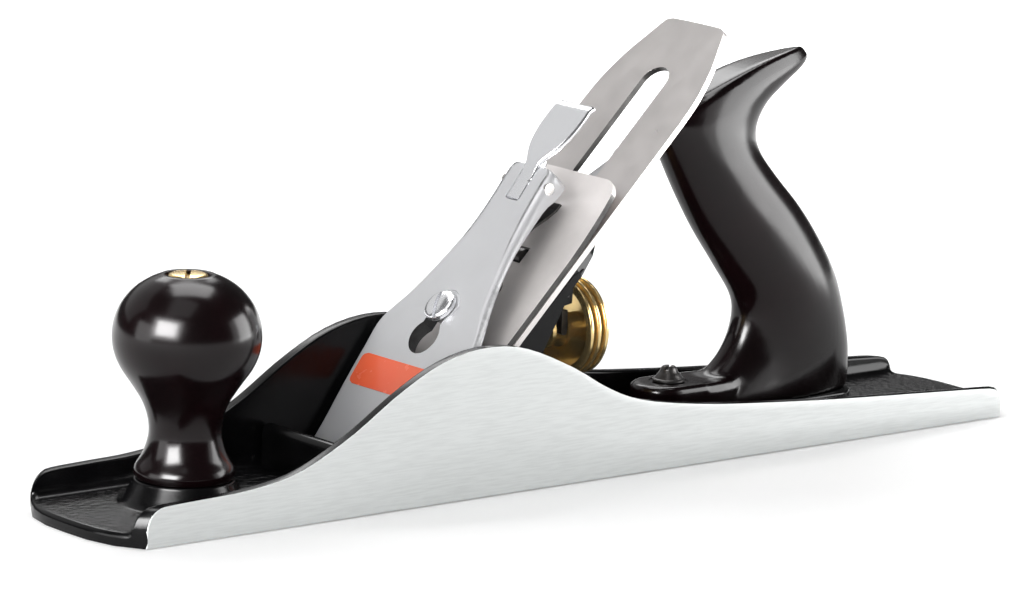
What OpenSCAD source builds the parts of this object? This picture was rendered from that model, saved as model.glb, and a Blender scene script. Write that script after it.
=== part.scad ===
// Bench plane, 14-inch jack size, with a bevel-down cutter bedded at 45 degrees.
// The toe points along -X, the heel along +X, and the sole lies on z = 0.
// The origin is the middle of the sole. Pieces on the bed are drawn in the bed's own frame:
// x runs up the bed from the sole, y across it, and z stands square to it.

/* [Casting] */
// Overall length of the casting
body_l = 372; // [362:1:385]
// Width over the two cheeks
body_w = 63; // [62:0.5:68]
// Thickness of the sole
sole_t = 4.3; // [3.5:0.1:5]
// Thickness of each cheek
cheek_t = 4; // [3:0.1:4.5]
// Height of the cheeks at the top of their curve
cheek_h = 48.7; // [44:0.1:54]
// How far the toe and the heel bow outwards
end_bow = 8.8; // [4:0.5:12]
// Distance of the bed from mid length, towards the toe, where it meets the sole
bed_back = 74; // [70:0.5:78]
// Opening of the mouth in front of the cutting edge
mouth_gap = 1.8; // [1.5:0.1:3]

/* [Knob] */
// Largest diameter of the front knob
knob_d = 47; // [40:0.5:50]
// Height of the front knob
knob_h = 65; // [58:0.5:72]
// Distance of the knob from mid length
knob_x = 141; // [136:0.5:148]
// Height of the knob's seat above the sole's face
knob_seat_z = 12; // [10:0.5:13]

/* [Tote] */
// Thickness of the rear handle at the grip
tote_t = 25; // [21:0.5:27]
// Height of the handle's seat above the sole's face
tote_seat_z = 11; // [10:0.5:12]
// Diameter of the handle's tie rod
rod_d = 6; // [5:0.5:7]

/* [Cutter] */
// Width of the cutter
iron_w = 50; // [46:0.5:51]
// Thickness of the cutter
iron_t = 2; // [1.8:0.1:2.4]
// Distance of the cutter's top end from the sole, along the bed
iron_top = 196; // [185:1:205]
// Width of the cutter's slot
slot_w = 12; // [11.6:0.1:13]
// Thickness of the cap iron
cap_t = 2; // [1.6:0.1:2.2]

/* [Depth adjuster] */
// Diameter of the depth wheel
wheel_d = 32; // [28:0.5:34]
// Width of the depth wheel's rim
wheel_w = 7.7; // [6.5:0.1:9]
// Height of the wheel's stud above the sole
stud_z = 44; // [43:0.5:45]
// Diameter of the wheel's stud
stud_d = 6; // [5:0.5:6.5]

/* [Lever cap] */
// Thickness of the lever cap at its shoulders
lever_cap_t = 5; // [4:0.1:6]
// Width of the cam lever's thumb plate
thumb_w = 18; // [15:0.5:22]

/* [Hidden] */
$fn = 48;
bed_a = 45;
// Clearances: between a shaft and its bore, between sliding faces, and between parts that only pass
run_gap = 0.05;
slide_gap = 0.1;
pass_gap = 0.3;
hull_gap = 0.02;

mouth_x = -bed_back;
half_l = body_l / 2;
half_w = body_w / 2;
in_w = half_w - cheek_t;
corner_x = half_l - end_bow;
wall_round = 4.5;
end_h = 7.6;
end_top_h = 12.6;

// Places along the bed, up from the sole
frog_top_s = 119.5;
cap_screw_s = 63;
iron_screw_s = 80;
yoke_s = 95;
roller_s = 106;
lateral_s = 115;
cap_iron_top_s = 128;
edge_s = 0.35 - iron_t;

// Seats of the frog
front_seat_z = 8;
rear_seat_z = 14;
frog_half_w = 23;
frog_plate_t = 5;
rear_pad_x = -16.5;
frog_screw_x = -33;
frog_screw_y = 13;
frog_screw_d = 6;
adjust_z = 9.2;
adjust_d = 5;

// Smooth curve through a few points of any dimension, closed or open
function spline_at(a, b, c, d, t) =
    0.5 * ((2 * b) + (c - a) * t + (2 * a - 5 * b + 4 * c - d) * t * t
    + (3 * b - a - 3 * c + d) * t * t * t);
function smooth_open(p, n) = [
    for (i = [0 : len(p) - 2], k = [0 : n - 1])
        spline_at(p[max(i - 1, 0)], p[i], p[i + 1], p[min(i + 2, len(p) - 1)], k / n),
    p[len(p) - 1]
];
function mirrored(p) = concat(p, [for (i = [len(p) - 1 : -1 : 0]) [p[i][0], -p[i][1]]]);

// Frames
module on_bed(s = 0) {
    translate([mouth_x, 0, 0]) rotate([0, -bed_a, 0]) translate([s, 0, 0]) children();
}
// An outline in x and z, drawn as thick as w across the plane and centred on it
module across(w) {
    rotate([90, 0, 0]) translate([0, 0, -w / 2]) linear_extrude(w) children();
}
module along_x(x0, z, r, l) {
    translate([x0, 0, z]) rotate([0, 90, 0]) cylinder(r = r, h = l);
}
module cross_pin(x, z, r, l) {
    translate([x, l / 2, z]) rotate([90, 0, 0]) cylinder(r = r, h = l);
}
// A slot with round ends between two places on the x axis
module round_slot(x0, x1, r, h) {
    translate([x0, 0, 0]) cylinder(r = r, h = h);
    translate([x1, 0, 0]) cylinder(r = r, h = h);
    translate([x0, -r, 0]) cube([x1 - x0, 2 * r, h]);
}
module ring(r_out, r_in, h) {
    difference() {
        cylinder(r = r_out, h = h);
        translate([0, 0, -1]) cylinder(r = r_in, h = h + 2);
    }
}

/* Casting */
// The plan bows out at both ends by a power curve
bow_power = 3.2;
bow_n = 14;
function bow(y) = end_bow * (1 - pow(abs(y) / half_w, bow_power));
plan_pts = concat(
    [for (i = [0 : bow_n]) let (y = half_w * cos(180 * i / bow_n)) [corner_x + bow(y), y]],
    [for (i = [0 : bow_n]) let (y = -half_w * cos(180 * i / bow_n)) [-corner_x - bow(y), y]]
);
// Top line of the cheeks, from toe to heel
cheek_pts = smooth_open([
    [-corner_x + 6, end_top_h], [-corner_x + 20, 13.1], [-139, 13.8], [-120, 17],
    [-100, 26], [-81, 37.6], [-64, 45.6], [-47, cheek_h], [-30, 46.6], [-10, 38],
    [4, 30], [19, 24.2], [44, 20], [72, 17.2], [106, 14.6], [corner_x - 13, 11],
    [corner_x - 5, 10.2]
], 5);
cheek_outline = concat(
    [[-half_l, -1], [-half_l, 6], [-corner_x, end_h], [-corner_x + 1.4, 9.6], [-corner_x + 3.4, 11.3]],
    cheek_pts,
    [[corner_x - 2, 9], [corner_x, 6.4], [half_l, 5.6], [half_l, -1]]
);
fillet_pts = concat(
    [[0, 0]],
    [for (i = [0 : 6]) [wall_round * (1 - cos(15 * i)), wall_round * (1 - sin(15 * i))]]
);
mouth_half_w = iron_w / 2 + 2;
rib_x = -90;
rib_h = 18.7;
rib_r = 2.8;
rib_half_w = 23.8;

module plan(h) {
    linear_extrude(h) polygon(plan_pts);
}
module cheeks() {
    for (side = [-1, 1]) {
        translate([-half_l, side * (half_w - cheek_t / 2) - cheek_t / 2, 0])
            cube([body_l, cheek_t, cheek_h + 1]);
        mirror([0, side > 0 ? 1 : 0, 0]) translate([-half_l, -in_w, sole_t]) rotate([90, 0, 90])
            linear_extrude(body_l) polygon(fillet_pts);
    }
}
module cast_pad(x0, x1, w, z) {
    translate([x0, -w / 2, sole_t - 1]) cube([x1 - x0, w, z - sole_t + 1]);
}
module knob_boss() {
    translate([-knob_x, 0, sole_t - 1]) cylinder(r1 = 19.6, r2 = 15.9, h = knob_seat_z - sole_t + 1);
}
// Cross rib in front of the mouth, short of the cheeks, with a round top and round ends
module toe_rib() {
    translate([rib_x, 0, rib_h - rib_r]) {
        rotate([90, 0, 0]) translate([0, 0, -rib_half_w]) cylinder(r = rib_r, h = 2 * rib_half_w);
        translate([-rib_r, -rib_half_w, sole_t - rib_h + rib_r - 1])
            cube([2 * rib_r, 2 * rib_half_w, rib_h - rib_r - sole_t + 1]);
        for (side = [-1, 1]) translate([0, side * rib_half_w, 0]) {
            sphere(r = rib_r);
            translate([0, 0, sole_t - rib_h + rib_r - 1]) cylinder(r = rib_r, h = rib_h - rib_r - sole_t + 1);
        }
    }
}
module mouth() {
    edge_x = mouth_x - iron_t * sqrt(2);
    across(2 * mouth_half_w)
        polygon([
            [edge_x - mouth_gap, -1], [edge_x - mouth_gap, 2.2], [edge_x - mouth_gap - 2.4, sole_t + 0.1],
            [edge_x - mouth_gap - 2.4, 30], [mouth_x + 31.5, 30], [mouth_x + 0.9, -0.6], [mouth_x + 0.9, -1]
        ]);
}
tote_rod_x = 111;
tote_rod_lean = 61;
tote_x1 = 121;
toe_screw_x = 56;
module on_rod() {
    translate([tote_rod_x, 0, tote_seat_z]) rotate([0, tote_rod_lean - 90, 0]) children();
}
module body() {
    color("#1b1b1d") difference() {
        union() {
            plan(sole_t);
            intersection() {
                plan(cheek_h + 1);
                across(body_w) polygon(cheek_outline);
                cheeks();
            }
            knob_boss();
            toe_rib();
            difference() {
                cast_pad(mouth_x + 6, mouth_x + 17, 2 * frog_half_w, front_seat_z);
                mouth();
            }
            cast_pad(-50, rear_pad_x, 2 * frog_half_w - 4, rear_seat_z);
            translate([toe_screw_x, 0, sole_t - 1])
                round_slot(0, tote_x1 - toe_screw_x, 11.5, tote_seat_z - sole_t + 1);
        }
        intersection() {
            mouth();
            translate([-half_l, -mouth_half_w, -2]) cube([body_l, 2 * mouth_half_w, sole_t + wall_round + 2]);
        }
        translate([-knob_x, 0, 2]) cylinder(r = stud_r(), h = knob_seat_z);
        on_rod() translate([0, 0, -8]) cylinder(r = rod_d / 2 + hull_gap, h = 20);
        translate([toe_screw_x, 0, 2]) cylinder(r = toe_screw_r + hull_gap, h = tote_seat_z);
        for (side = [-1, 1]) translate([frog_screw_x, side * frog_screw_y, 2])
            cylinder(r = frog_screw_d / 2 + hull_gap, h = rear_seat_z);
        along_x(-29, adjust_z, adjust_d / 2 + run_gap, 20);
    }
}

/* Front knob */
knob_stud_d = 7;
knob_nut_d = 13;
function stud_r() = knob_stud_d / 2 + hull_gap;
// Outline of the knob as shares of its largest radius and its height
knob_pts = smooth_open([
    [0.655, 0], [0.685, 0.03], [0.665, 0.06], [0.58, 0.11], [0.52, 0.165], [0.488, 0.235],
    [0.505, 0.315], [0.57, 0.395], [0.705, 0.48], [0.875, 0.565], [0.967, 0.64], [1, 0.714],
    [0.978, 0.79], [0.90, 0.865], [0.755, 0.928], [0.575, 0.973], [0.40, 1]
], 3);
module front_knob() {
    nut_r = knob_nut_d / 2 + pass_gap;
    color("#241a1c") translate([-knob_x, 0, knob_seat_z]) difference() {
        rotate_extrude() polygon(concat([[0, 0]],
            [for (p = knob_pts) [p[0] * knob_d / 2, p[1] * knob_h]], [[0, knob_h]]));
        translate([0, 0, -1]) cylinder(r = stud_r(), h = knob_h + 2);
        translate([0, 0, knob_h - 4]) cylinder(r = nut_r, h = 5);
    }
}
module knob_stud() {
    color("#b9b9b6") translate([-knob_x, 0, 2.2]) cylinder(d = knob_stud_d, h = knob_seat_z + knob_h - 6);
}
// Domed nut with a screwdriver slot, seated in the counterbore
module slotted_nut(d, stud, deep) {
    difference() {
        union() {
            cylinder(d = d, h = 3.2);
            translate([0, 0, 3.2]) cylinder(d1 = d, d2 = d - 3, h = 1.3);
        }
        translate([0, 0, -1]) cylinder(d = stud + 2 * hull_gap, h = deep + 1);
        translate([-d, -0.8, 3.2]) cube([2 * d, 1.6, 3]);
    }
}
module knob_nut() {
    color("#c9a24b") translate([-knob_x, 0, knob_seat_z + knob_h - 4])
        slotted_nut(knob_nut_d, knob_stud_d, 2.6);
}

/* Tote */
toe_screw_r = 2.6;
lobe_top_z = 20.5;
// Each row is a level of the grip: front x, front z, back x, back z, half thickness at the
// front, the same at the back, and how far the level crowns upwards
tote_levels = smooth_open([
    [60, 0, 133, 0, 0.46, 0.46, 0],
    [64, 4, 133.5, 3, 0.46, 0.46, 0],
    [72, 10, 133.3, 9, 0.44, 0.47, 0],
    [79, 16, 132.5, 16, 0.44, 0.48, 0],
    [84, 25, 129.6, 27, 0.46, 0.50, 0],
    [84, 34, 125, 40, 0.48, 0.50, 0],
    [75.6, 46, 117.8, 52, 0.48, 0.50, 0],
    [65.8, 59, 108.6, 64, 0.47, 0.49, 0],
    [58.2, 71, 97.2, 76, 0.46, 0.46, 0],
    [52.6, 81, 90, 85, 0.46, 0.43, 0.2],
    [48.3, 89, 88.7, 92.5, 0.46, 0.39, 0.6],
    [45.6, 94, 93, 100, 0.46, 0.36, 1.1],
    [45.2, 97, 100.6, 106, 0.45, 0.31, 1.7],
    [46.6, 99, 107, 110.5, 0.44, 0.26, 2.3],
    [49, 100, 109.4, 114, 0.42, 0.22, 2.8],
    [52.5, 100.7, 107, 117, 0.38, 0.18, 3]
], 3);
tote_sides = 24;
function power(v, e) = sign(v) * pow(abs(v), e);
function tote_ring(l) = [
    for (k = [0 : tote_sides - 1])
        let (
            a = 360 * k / tote_sides,
            u = power(cos(a), 0.78),
            v = power(sin(a), 0.82),
            share = (1 + u) / 2
        )
        [
            l[0] + (l[2] - l[0]) * share,
            v * tote_t * (l[4] + (l[5] - l[4]) * share),
            tote_seat_z + l[1] + (l[3] - l[1]) * share + l[6] * sin(180 * share)
        ]
];
// Faces that close one end of a loft, in strips from side to side
function end_strip(first, sides, flip) = [
    for (k = [0 : sides / 2 - 1], half = [0, 1])
        let (
            a = first + k,
            b = first + k + 1,
            c = first + (sides - k - 1) % sides,
            d = first + (sides - k) % sides,
            f = half == 0 ? [a, b, c] : [a, c, d]
        )
        if (f[0] != f[1] && f[1] != f[2] && f[2] != f[0]) flip ? [f[0], f[2], f[1]] : f
];
module loft(rings, sides) {
    n = len(rings);
    polyhedron(
        points = [for (r = rings, p = r) p],
        faces = concat(
            [for (i = [0 : n - 2], k = [0 : sides - 1], half = [0, 1])
                let (j = (k + 1) % sides, a = i * sides, b = a + sides)
                half == 0 ? [a + k, b + k, b + j] : [a + k, b + j, a + j]],
            end_strip(0, sides, false),
            end_strip((n - 1) * sides, sides, true)
        )
    );
}
nut_seat = 94;
module tote() {
    color("#241a1c") difference() {
        union() {
            loft([for (l = tote_levels) tote_ring(l)], tote_sides);
            translate([toe_screw_x - 2.5, 0, tote_seat_z]) {
                round_slot(0, 26, 10.6, lobe_top_z - tote_seat_z - 1);
                translate([0, 0, lobe_top_z - tote_seat_z - 1]) cylinder(r1 = 10.6, r2 = 9.6, h = 1);
            }
        }
        on_rod() translate([0, 0, -20]) cylinder(r = rod_d / 2 + hull_gap, h = 160);
        on_rod() translate([0, 0, nut_seat]) cylinder(d = knob_nut_d + 2 * pass_gap, h = 40);
        translate([toe_screw_x, 0, 0]) cylinder(r = toe_screw_r + hull_gap, h = 60);
        translate([toe_screw_x, 0, lobe_top_z]) cylinder(r = 10, h = 6);
    }
}
module tote_rod() {
    color("#b9b9b6") on_rod() translate([0, 0, -7.8]) cylinder(d = rod_d, h = nut_seat + 10);
}
module tote_nut() {
    color("#c9a24b") on_rod() translate([0, 0, nut_seat]) slotted_nut(knob_nut_d, rod_d, 2.6);
}
module tote_toe_screw() {
    color("#202022") translate([toe_screw_x, 0, 0]) difference() {
        union() {
            translate([0, 0, 2.2]) cylinder(r = toe_screw_r, h = lobe_top_z);
            translate([0, 0, lobe_top_z]) cylinder(r = 5.4, h = 0.9);
            translate([0, 0, lobe_top_z + 0.9]) cylinder(r1 = 4.9, r2 = 3.5, h = 1.9);
            translate([0, 0, lobe_top_z + 2.8]) cylinder(r1 = 3.1, r2 = 2.3, h = 2.2);
        }
        translate([-8, -0.6, lobe_top_z + 4]) cube([16, 1.2, 2]);
    }
}

/* Frog */
pivot_d = 3.2;
pivot_depth = 15;
pivot_x = mouth_x + yoke_s * cos(bed_a) + pivot_depth * sin(bed_a);
pivot_z = yoke_s * sin(bed_a) - pivot_depth * cos(bed_a);
bolt_boss_d = 14;
lever_screw_d = 7.8;
plate_foot_s = 16.6;
function bed_x(z) = mouth_x + z / tan(bed_a);
// The plate and the foot stand a little in from the outer faces of the frog's cheeks
plate_half_w = frog_half_w - 0.2;
foot_w = 2 * frog_half_w - 0.8;
module frog_plate() {
    on_bed() difference() {
        translate([0, 0, -frog_plate_t]) linear_extrude(frog_plate_t - slide_gap)
            polygon(mirrored([
                [plate_foot_s, plate_half_w], [frog_top_s - 21.5, plate_half_w],
                [frog_top_s - 13.5, plate_half_w - 1.8], [frog_top_s - 5, plate_half_w - 6.8],
                [frog_top_s, plate_half_w - 13.8]
            ]));
        // Room for the cap iron screw's head and for the lateral lever
        translate([iron_screw_s - 10.5, -9.6, -2.6]) cube([24.5, 19.2, 4]);
        translate([roller_s - 6, -11, -2.2]) cube([30, 22, 4]);
        translate([lateral_s, 0, -9]) cylinder(d = rivet_d + 2 * run_gap, h = 12);
    }
}
// Side cheeks: deep at the foot, running out to nothing near the top
module frog_cheeks() {
    for (side = [-1, 1]) translate([0, side * (frog_half_w - 2), 0]) across(4)
        polygon([
            [bed_x(9.2) + 0.2, 9.2], [bed_x(66) + 3, 66], [bed_x(68) + 5.5, 68], [-4.6, 63.2],
            [-16.6, 42.5], [-19, 34], [-16.5, 22], [-13.5, rear_seat_z + slide_gap],
            [-51.3, rear_seat_z + slide_gap], [-53.3, 9.2]
        ]);
}
module frog_base() {
    translate([-52, -foot_w / 2, rear_seat_z + slide_gap]) cube([38.5, foot_w, 5]);
    across(foot_w)
        polygon([
            [bed_x(front_seat_z + slide_gap) + 0.2, front_seat_z + slide_gap],
            [bed_x(22) + 0.2, 22], [-42, 22], [-48, 15.3], [-51.2, 14.5], [-54, front_seat_z + slide_gap]
        ]);
}
// Middle rib that carries the stud, and the two ears of the fork's pivot
module frog_middle() {
    across(11) polygon([
        [bed_x(34) + 4, 34], [bed_x(52) + 4, 52], [-3, 52], [-3, 37], [-14.5, 21], [-14.5, 18], [-28, 18]
    ]);
    for (side = [-1, 1]) translate([0, side * 7.2, 0]) across(3.6)
        polygon([
            [bed_x(54) + 4, 54], [bed_x(68) + 4, 68], [pivot_x + 2, pivot_z + 4.5],
            [pivot_x + 2.8, pivot_z + 1], [pivot_x + 2.5, pivot_z - 3], [-8, 51]
        ]);
    on_bed(cap_screw_s) translate([0, 0, -16]) cylinder(d = bolt_boss_d, h = 13);
}
module frog() {
    color("#2a2b2d") difference() {
        union() {
            frog_plate();
            frog_cheeks();
            frog_base();
            frog_middle();
        }
        on_bed(cap_screw_s) translate([0, 0, -20]) cylinder(d = lever_screw_d + 2 * hull_gap, h = 30);
        cross_pin(pivot_x, pivot_z, pivot_d / 2 + hull_gap, 30);
        along_x(-16, stud_z, stud_d / 2 + hull_gap, 30);
        for (side = [-1, 1]) translate([frog_screw_x, side * frog_screw_y, 0]) {
            translate([-1, 0, 0]) round_slot(0, 2, frog_screw_d / 2 + 0.6, rear_seat_z + 10);
            translate([-1, 0, rear_seat_z + 5.1]) round_slot(0, 2, 6.6, 60);
        }
        on_bed(0) translate([0, -mouth_half_w - 2, -slide_gap]) cube([60, 2 * mouth_half_w + 4, 30]);
        along_x(clip_x - 3, clip_screw_z, clip_screw_d / 2 + hull_gap, 8);
        on_bed(yoke_s) translate([-7.5, -4, -11]) cube([16, 8, 14]);
    }
}
washer_t = 1.2;
washer_z = rear_seat_z + 5.1 + slide_gap;
module frog_screws() {
    color("#8d8f90") for (side = [-1, 1]) translate([frog_screw_x, side * frog_screw_y, 0]) difference() {
        union() {
            translate([0, 0, 2.2]) cylinder(d = frog_screw_d, h = washer_z + washer_t);
            translate([0, 0, washer_z + washer_t + hull_gap]) cylinder(d = 9.6, h = 3);
        }
        translate([-8, -0.7, washer_z + washer_t + 1.6]) cube([16, 1.4, 4]);
    }
}
module frog_washers() {
    color("#8d8f90") for (side = [-1, 1])
        translate([frog_screw_x, side * frog_screw_y, washer_z])
            ring(5.6, frog_screw_d / 2 + hull_gap, washer_t);
}
clip_x = -13.5;
clip_t = 1.6;
clip_screw_d = 4;
clip_screw_z = rear_seat_z + 2.6;
collar_t = 1.6;
// Horizontal screw behind the frog that shifts it along its seats
module frog_adjusting_screw() {
    color("#8d8f90") difference() {
        union() {
            along_x(-27, adjust_z, adjust_d / 2, 13 + clip_t + 6);
            along_x(clip_x - collar_t - 0.1, adjust_z, 4.4, collar_t);
            along_x(clip_x + clip_t + 0.2, adjust_z, 3.8, 4);
        }
        translate([clip_x + clip_t + 2.8, -6, adjust_z - 0.6]) cube([8, 12, 1.2]);
    }
}
module frog_clip() {
    color("#8d8f90") difference() {
        translate([clip_x + 0.05, -6, adjust_z - 3.9]) cube([clip_t, 12, clip_screw_z - adjust_z + 7.6]);
        along_x(clip_x - 2, adjust_z, adjust_d / 2 + 0.15, 8);
        translate([clip_x - 2, -adjust_d / 2 - 0.15, adjust_z - 9]) cube([8, adjust_d + 0.3, 9]);
        along_x(clip_x - 2, clip_screw_z, clip_screw_d / 2 + hull_gap, 8);
    }
}
module frog_clip_screw() {
    color("#8d8f90") difference() {
        union() {
            along_x(clip_x - 2.8, clip_screw_z, clip_screw_d / 2, 6);
            along_x(clip_x + clip_t + 0.07, clip_screw_z, 3.1, 2);
        }
        translate([clip_x + clip_t + 1.2, -0.5, clip_screw_z - 5]) cube([4, 1, 10]);
    }
}

/* Depth adjuster */
wheel_x = 9;
groove_x0 = 2.3;
groove_x1 = 7.3;
hub_r = 4.3;
collar_r = 6.5;
web_t = 2.4;
stud_end = wheel_x + wheel_w + 5;
module wheel_stud() {
    color("#b9b9b6") along_x(-15.8, stud_z, stud_d / 2, stud_end + 15.8);
}
module depth_wheel_hub() {
    bore = stud_d / 2 + run_gap;
    color("#c9a24b") translate([0, 0, stud_z]) rotate([0, 90, 0]) {
        translate([0, 0, groove_x0 - 1.4]) ring(collar_r, bore, 1.4);
        translate([0, 0, groove_x0]) ring(hub_r, bore, wheel_x + wheel_w - groove_x0);
        translate([0, 0, groove_x1]) ring(collar_r, bore, 1.4);
        translate([0, 0, wheel_x + wheel_w]) ring(hub_r + 1.2, bore, 1.2);
    }
}
// Cup-shaped wheel, open towards the toe, with two grooves turned in its rim
module depth_wheel() {
    r = wheel_d / 2;
    g = 0.9;
    land = wheel_w / 5;
    color("#c9a24b") translate([wheel_x, 0, stud_z]) rotate([0, 90, 0]) rotate_extrude() polygon([
        [hub_r + run_gap, wheel_w - web_t], [r - 2.6, wheel_w - web_t], [r - 2.6, 0], [r - 0.4, 0],
        [r, 0.4], [r, land], [r - g, land + 0.3], [r - g, 2 * land - 0.3], [r, 2 * land],
        [r, 3 * land], [r - g, 3 * land + 0.3], [r - g, 4 * land - 0.3], [r, 4 * land],
        [r, wheel_w - 0.4], [r - 0.4, wheel_w - 0.05], [hub_r + run_gap, wheel_w - 0.05]
    ]);
}
finger_r = 2.7;
prong_r = 1.2;
prong_x = (groove_x0 + groove_x1) / 2;
// Forked lever: its finger lifts the cap iron, its prongs ride in the hub's groove
module yoke() {
    color("#2a2b2d") difference() {
        union() {
            cross_pin(pivot_x, pivot_z, pivot_d / 2 + 1.4, 10);
            on_bed(yoke_s) translate([-2, -3, -pivot_depth]) cube([4, 6, pivot_depth + iron_t]);
            on_bed(yoke_s) translate([0, 3, iron_t + 0.9]) rotate([90, 0, 0]) cylinder(r = finger_r, h = 6);
            translate([prong_x - prong_r, -5, stud_z + 5.2]) cube([2 * prong_r, 10, pivot_z - stud_z - 6]);
            translate([prong_x - prong_r, -7.3, stud_z + 5.2]) cube([2 * prong_r, 14.6, 1.8]);
            for (side = [-1, 1]) translate([0, side * 6, 0]) {
                translate([prong_x - prong_r, -1.3, stud_z]) cube([2 * prong_r, 2.6, 6]);
                cross_pin(prong_x, stud_z, prong_r, 2.6);
            }
        }
        cross_pin(pivot_x, pivot_z, pivot_d / 2 + run_gap, 30);
    }
}
module yoke_pin() {
    color("#8d8f90") cross_pin(pivot_x, pivot_z, pivot_d / 2, 17.6);
}

/* Lateral adjuster */
rivet_d = 4;
lever_t = 1.5;
lever_gap = 0.35;
lateral_pts = [
    [roller_s - 5, 4.5], [roller_s - 4, 5.5], [lateral_s + 2, 6], [frog_top_s + 2, 5], [frog_top_s + 8, 4]
];
arm_lean = 18;
arm_l = 23;
module lateral_lever() {
    color("#b9b9b6") on_bed() {
        difference() {
            translate([0, 0, -lever_gap - lever_t]) linear_extrude(lever_t)
                polygon(mirrored(concat(lateral_pts, [[frog_top_s + 9, 4]])));
            translate([lateral_s, 0, -9]) cylinder(d = rivet_d + 2 * run_gap, h = 12);
            translate([roller_s, 0, -9]) cylinder(d = 3 + 2 * hull_gap, h = 12);
        }
        // The arm leans back from the cutter and ends in a thumb tab
        translate([frog_top_s + 7, 0, 0.1 - lever_gap - lever_t]) rotate([0, arm_lean, 0]) {
            translate([0, -3.8, 0]) cube([arm_l, 7.6, lever_t - 0.2]);
            translate([arm_l, 0, 0]) cylinder(r = 6.5, h = lever_t - 0.2);
            translate([arm_l + 4, -5.5, -5]) cube([lever_t, 11, 5 + lever_t]);
        }
    }
}
module lateral_rivet() {
    color("#8d8f90") on_bed(lateral_s) {
        translate([0, 0, -frog_plate_t - 1.2]) cylinder(d = rivet_d, h = frog_plate_t + 1.2);
        translate([0, 0, -lever_gap + hull_gap]) cylinder(d = 6.4, h = 1.2);
        translate([0, 0, -frog_plate_t - 1.2]) cylinder(d = 7.4, h = 1.15);
    }
}
module lateral_roller() {
    color("#b9b9b6") on_bed(roller_s) {
        translate([0, 0, -lever_gap - lever_t]) cylinder(d = 3, h = lever_t + 0.5);
        translate([0, 0, -lever_gap + hull_gap]) cylinder(d = slot_w - 0.8, h = iron_t);
    }
}

/* Cutter and cap iron */
cap_d = iron_t + hull_gap;
slot_low_s = 44;
slot_top_s = 170.5;
hump_h = 3.5;
cap_lift = 3.2;
module plane_iron() {
    hw = iron_w / 2;
    bevel = iron_t / tan(27);
    color("#b8b4b1") on_bed() difference() {
        intersection() {
            across(iron_w + 2) polygon([
                [edge_s, iron_t], [edge_s + bevel, 0], [iron_top + 2, 0], [iron_top + 2, iron_t]
            ]);
            linear_extrude(iron_t + 1) polygon(mirrored(concat(
                [[edge_s - 1, hw], [iron_top - 38, hw]],
                smooth_open([
                    [iron_top - 38, hw], [iron_top - 28, hw - 0.8], [iron_top - 17, hw - 3.6],
                    [iron_top - 6, hw - 8.8], [iron_top - 2.2, hw - 12], [iron_top - 0.6, hw - 14.5]
                ], 4),
                [[iron_top, 4]]
            )));
        }
        translate([0, 0, -1]) round_slot(slot_low_s, slot_top_s, slot_w / 2, 5);
        translate([slot_low_s, 0, -1]) cylinder(r = 9.5, h = 5);
    }
}
function cap_rise(s) = s < 92 ? 0 : cap_lift * pow((s - 92) / (cap_iron_top_s - 92), 2);
cap_top_pts = concat(
    smooth_open([[0.2, 0.5], [2.5, 2.2], [7, hump_h + 0.1], [12, hump_h], [19, 2.5], [28, cap_t]], 4),
    [for (s = [70, 92, 98, 104, 110, 116, 122, cap_iron_top_s]) [s, cap_t + cap_rise(s)]]
);
cap_under_pts = concat(
    [for (s = [cap_iron_top_s, 122, 116, 110, 104, 98, 92, 28]) [s, cap_rise(s)]],
    [[19, 0.7], [12, 1.5], [7, 1.5], [3, 0.6], [0.6, 0]]
);
module cap_iron() {
    hw = iron_w / 2 - 0.4;
    color("#b5aeaa") on_bed() translate([0, 0, cap_d]) difference() {
        intersection() {
            across(iron_w + 2) polygon(concat(cap_top_pts, cap_under_pts));
            linear_extrude(20) polygon(mirrored(concat(
                [[-1, hw], [cap_iron_top_s - 6, hw]],
                [for (i = [1 : 4]) [cap_iron_top_s - 6 + 5 * sin(20 * i), hw - 6 + 6 * cos(20 * i)]],
                [[cap_iron_top_s, hw - 12]]
            )));
        }
        translate([0, 0, -1]) round_slot(cap_screw_s - 3, cap_screw_s + 1, lever_screw_d / 2 + 0.9, 12);
        translate([yoke_s - finger_r - 0.4, -3.7, -1]) cube([2 * finger_r + 0.8, 7.4, 12]);
        translate([iron_screw_s, 0, -1]) cylinder(r = iron_screw_r + run_gap, h = 12);
    }
}
iron_screw_r = 4.4;
module cap_iron_screw() {
    color("#8d8f90") on_bed(iron_screw_s) difference() {
        union() {
            translate([0, 0, -2.3]) cylinder(r = 8.5, h = 2.3 - run_gap);
            translate([0, 0, -1]) cylinder(r = iron_screw_r, h = cap_d + cap_t + 0.9);
        }
        translate([-10, -0.8, -3]) cube([20, 1.6, 1.4]);
    }
}

/* Lever cap */
head_d = 11.4;
key_travel = 11;
pin_s = 113.4;
pin_h = 17.6;
cam_pin_d = 4;
block_half_w = 11.2;
cap_end_s = 119;
cap_foot_s = 6;
cap_foot_h = iron_t + hump_h + 0.25;
shoulder_h = cap_foot_h + 4.1 + lever_cap_t;
spring_seat = 12.2;
slot_half_w = 3.6;
cam_slot_s = 105.5;
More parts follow.
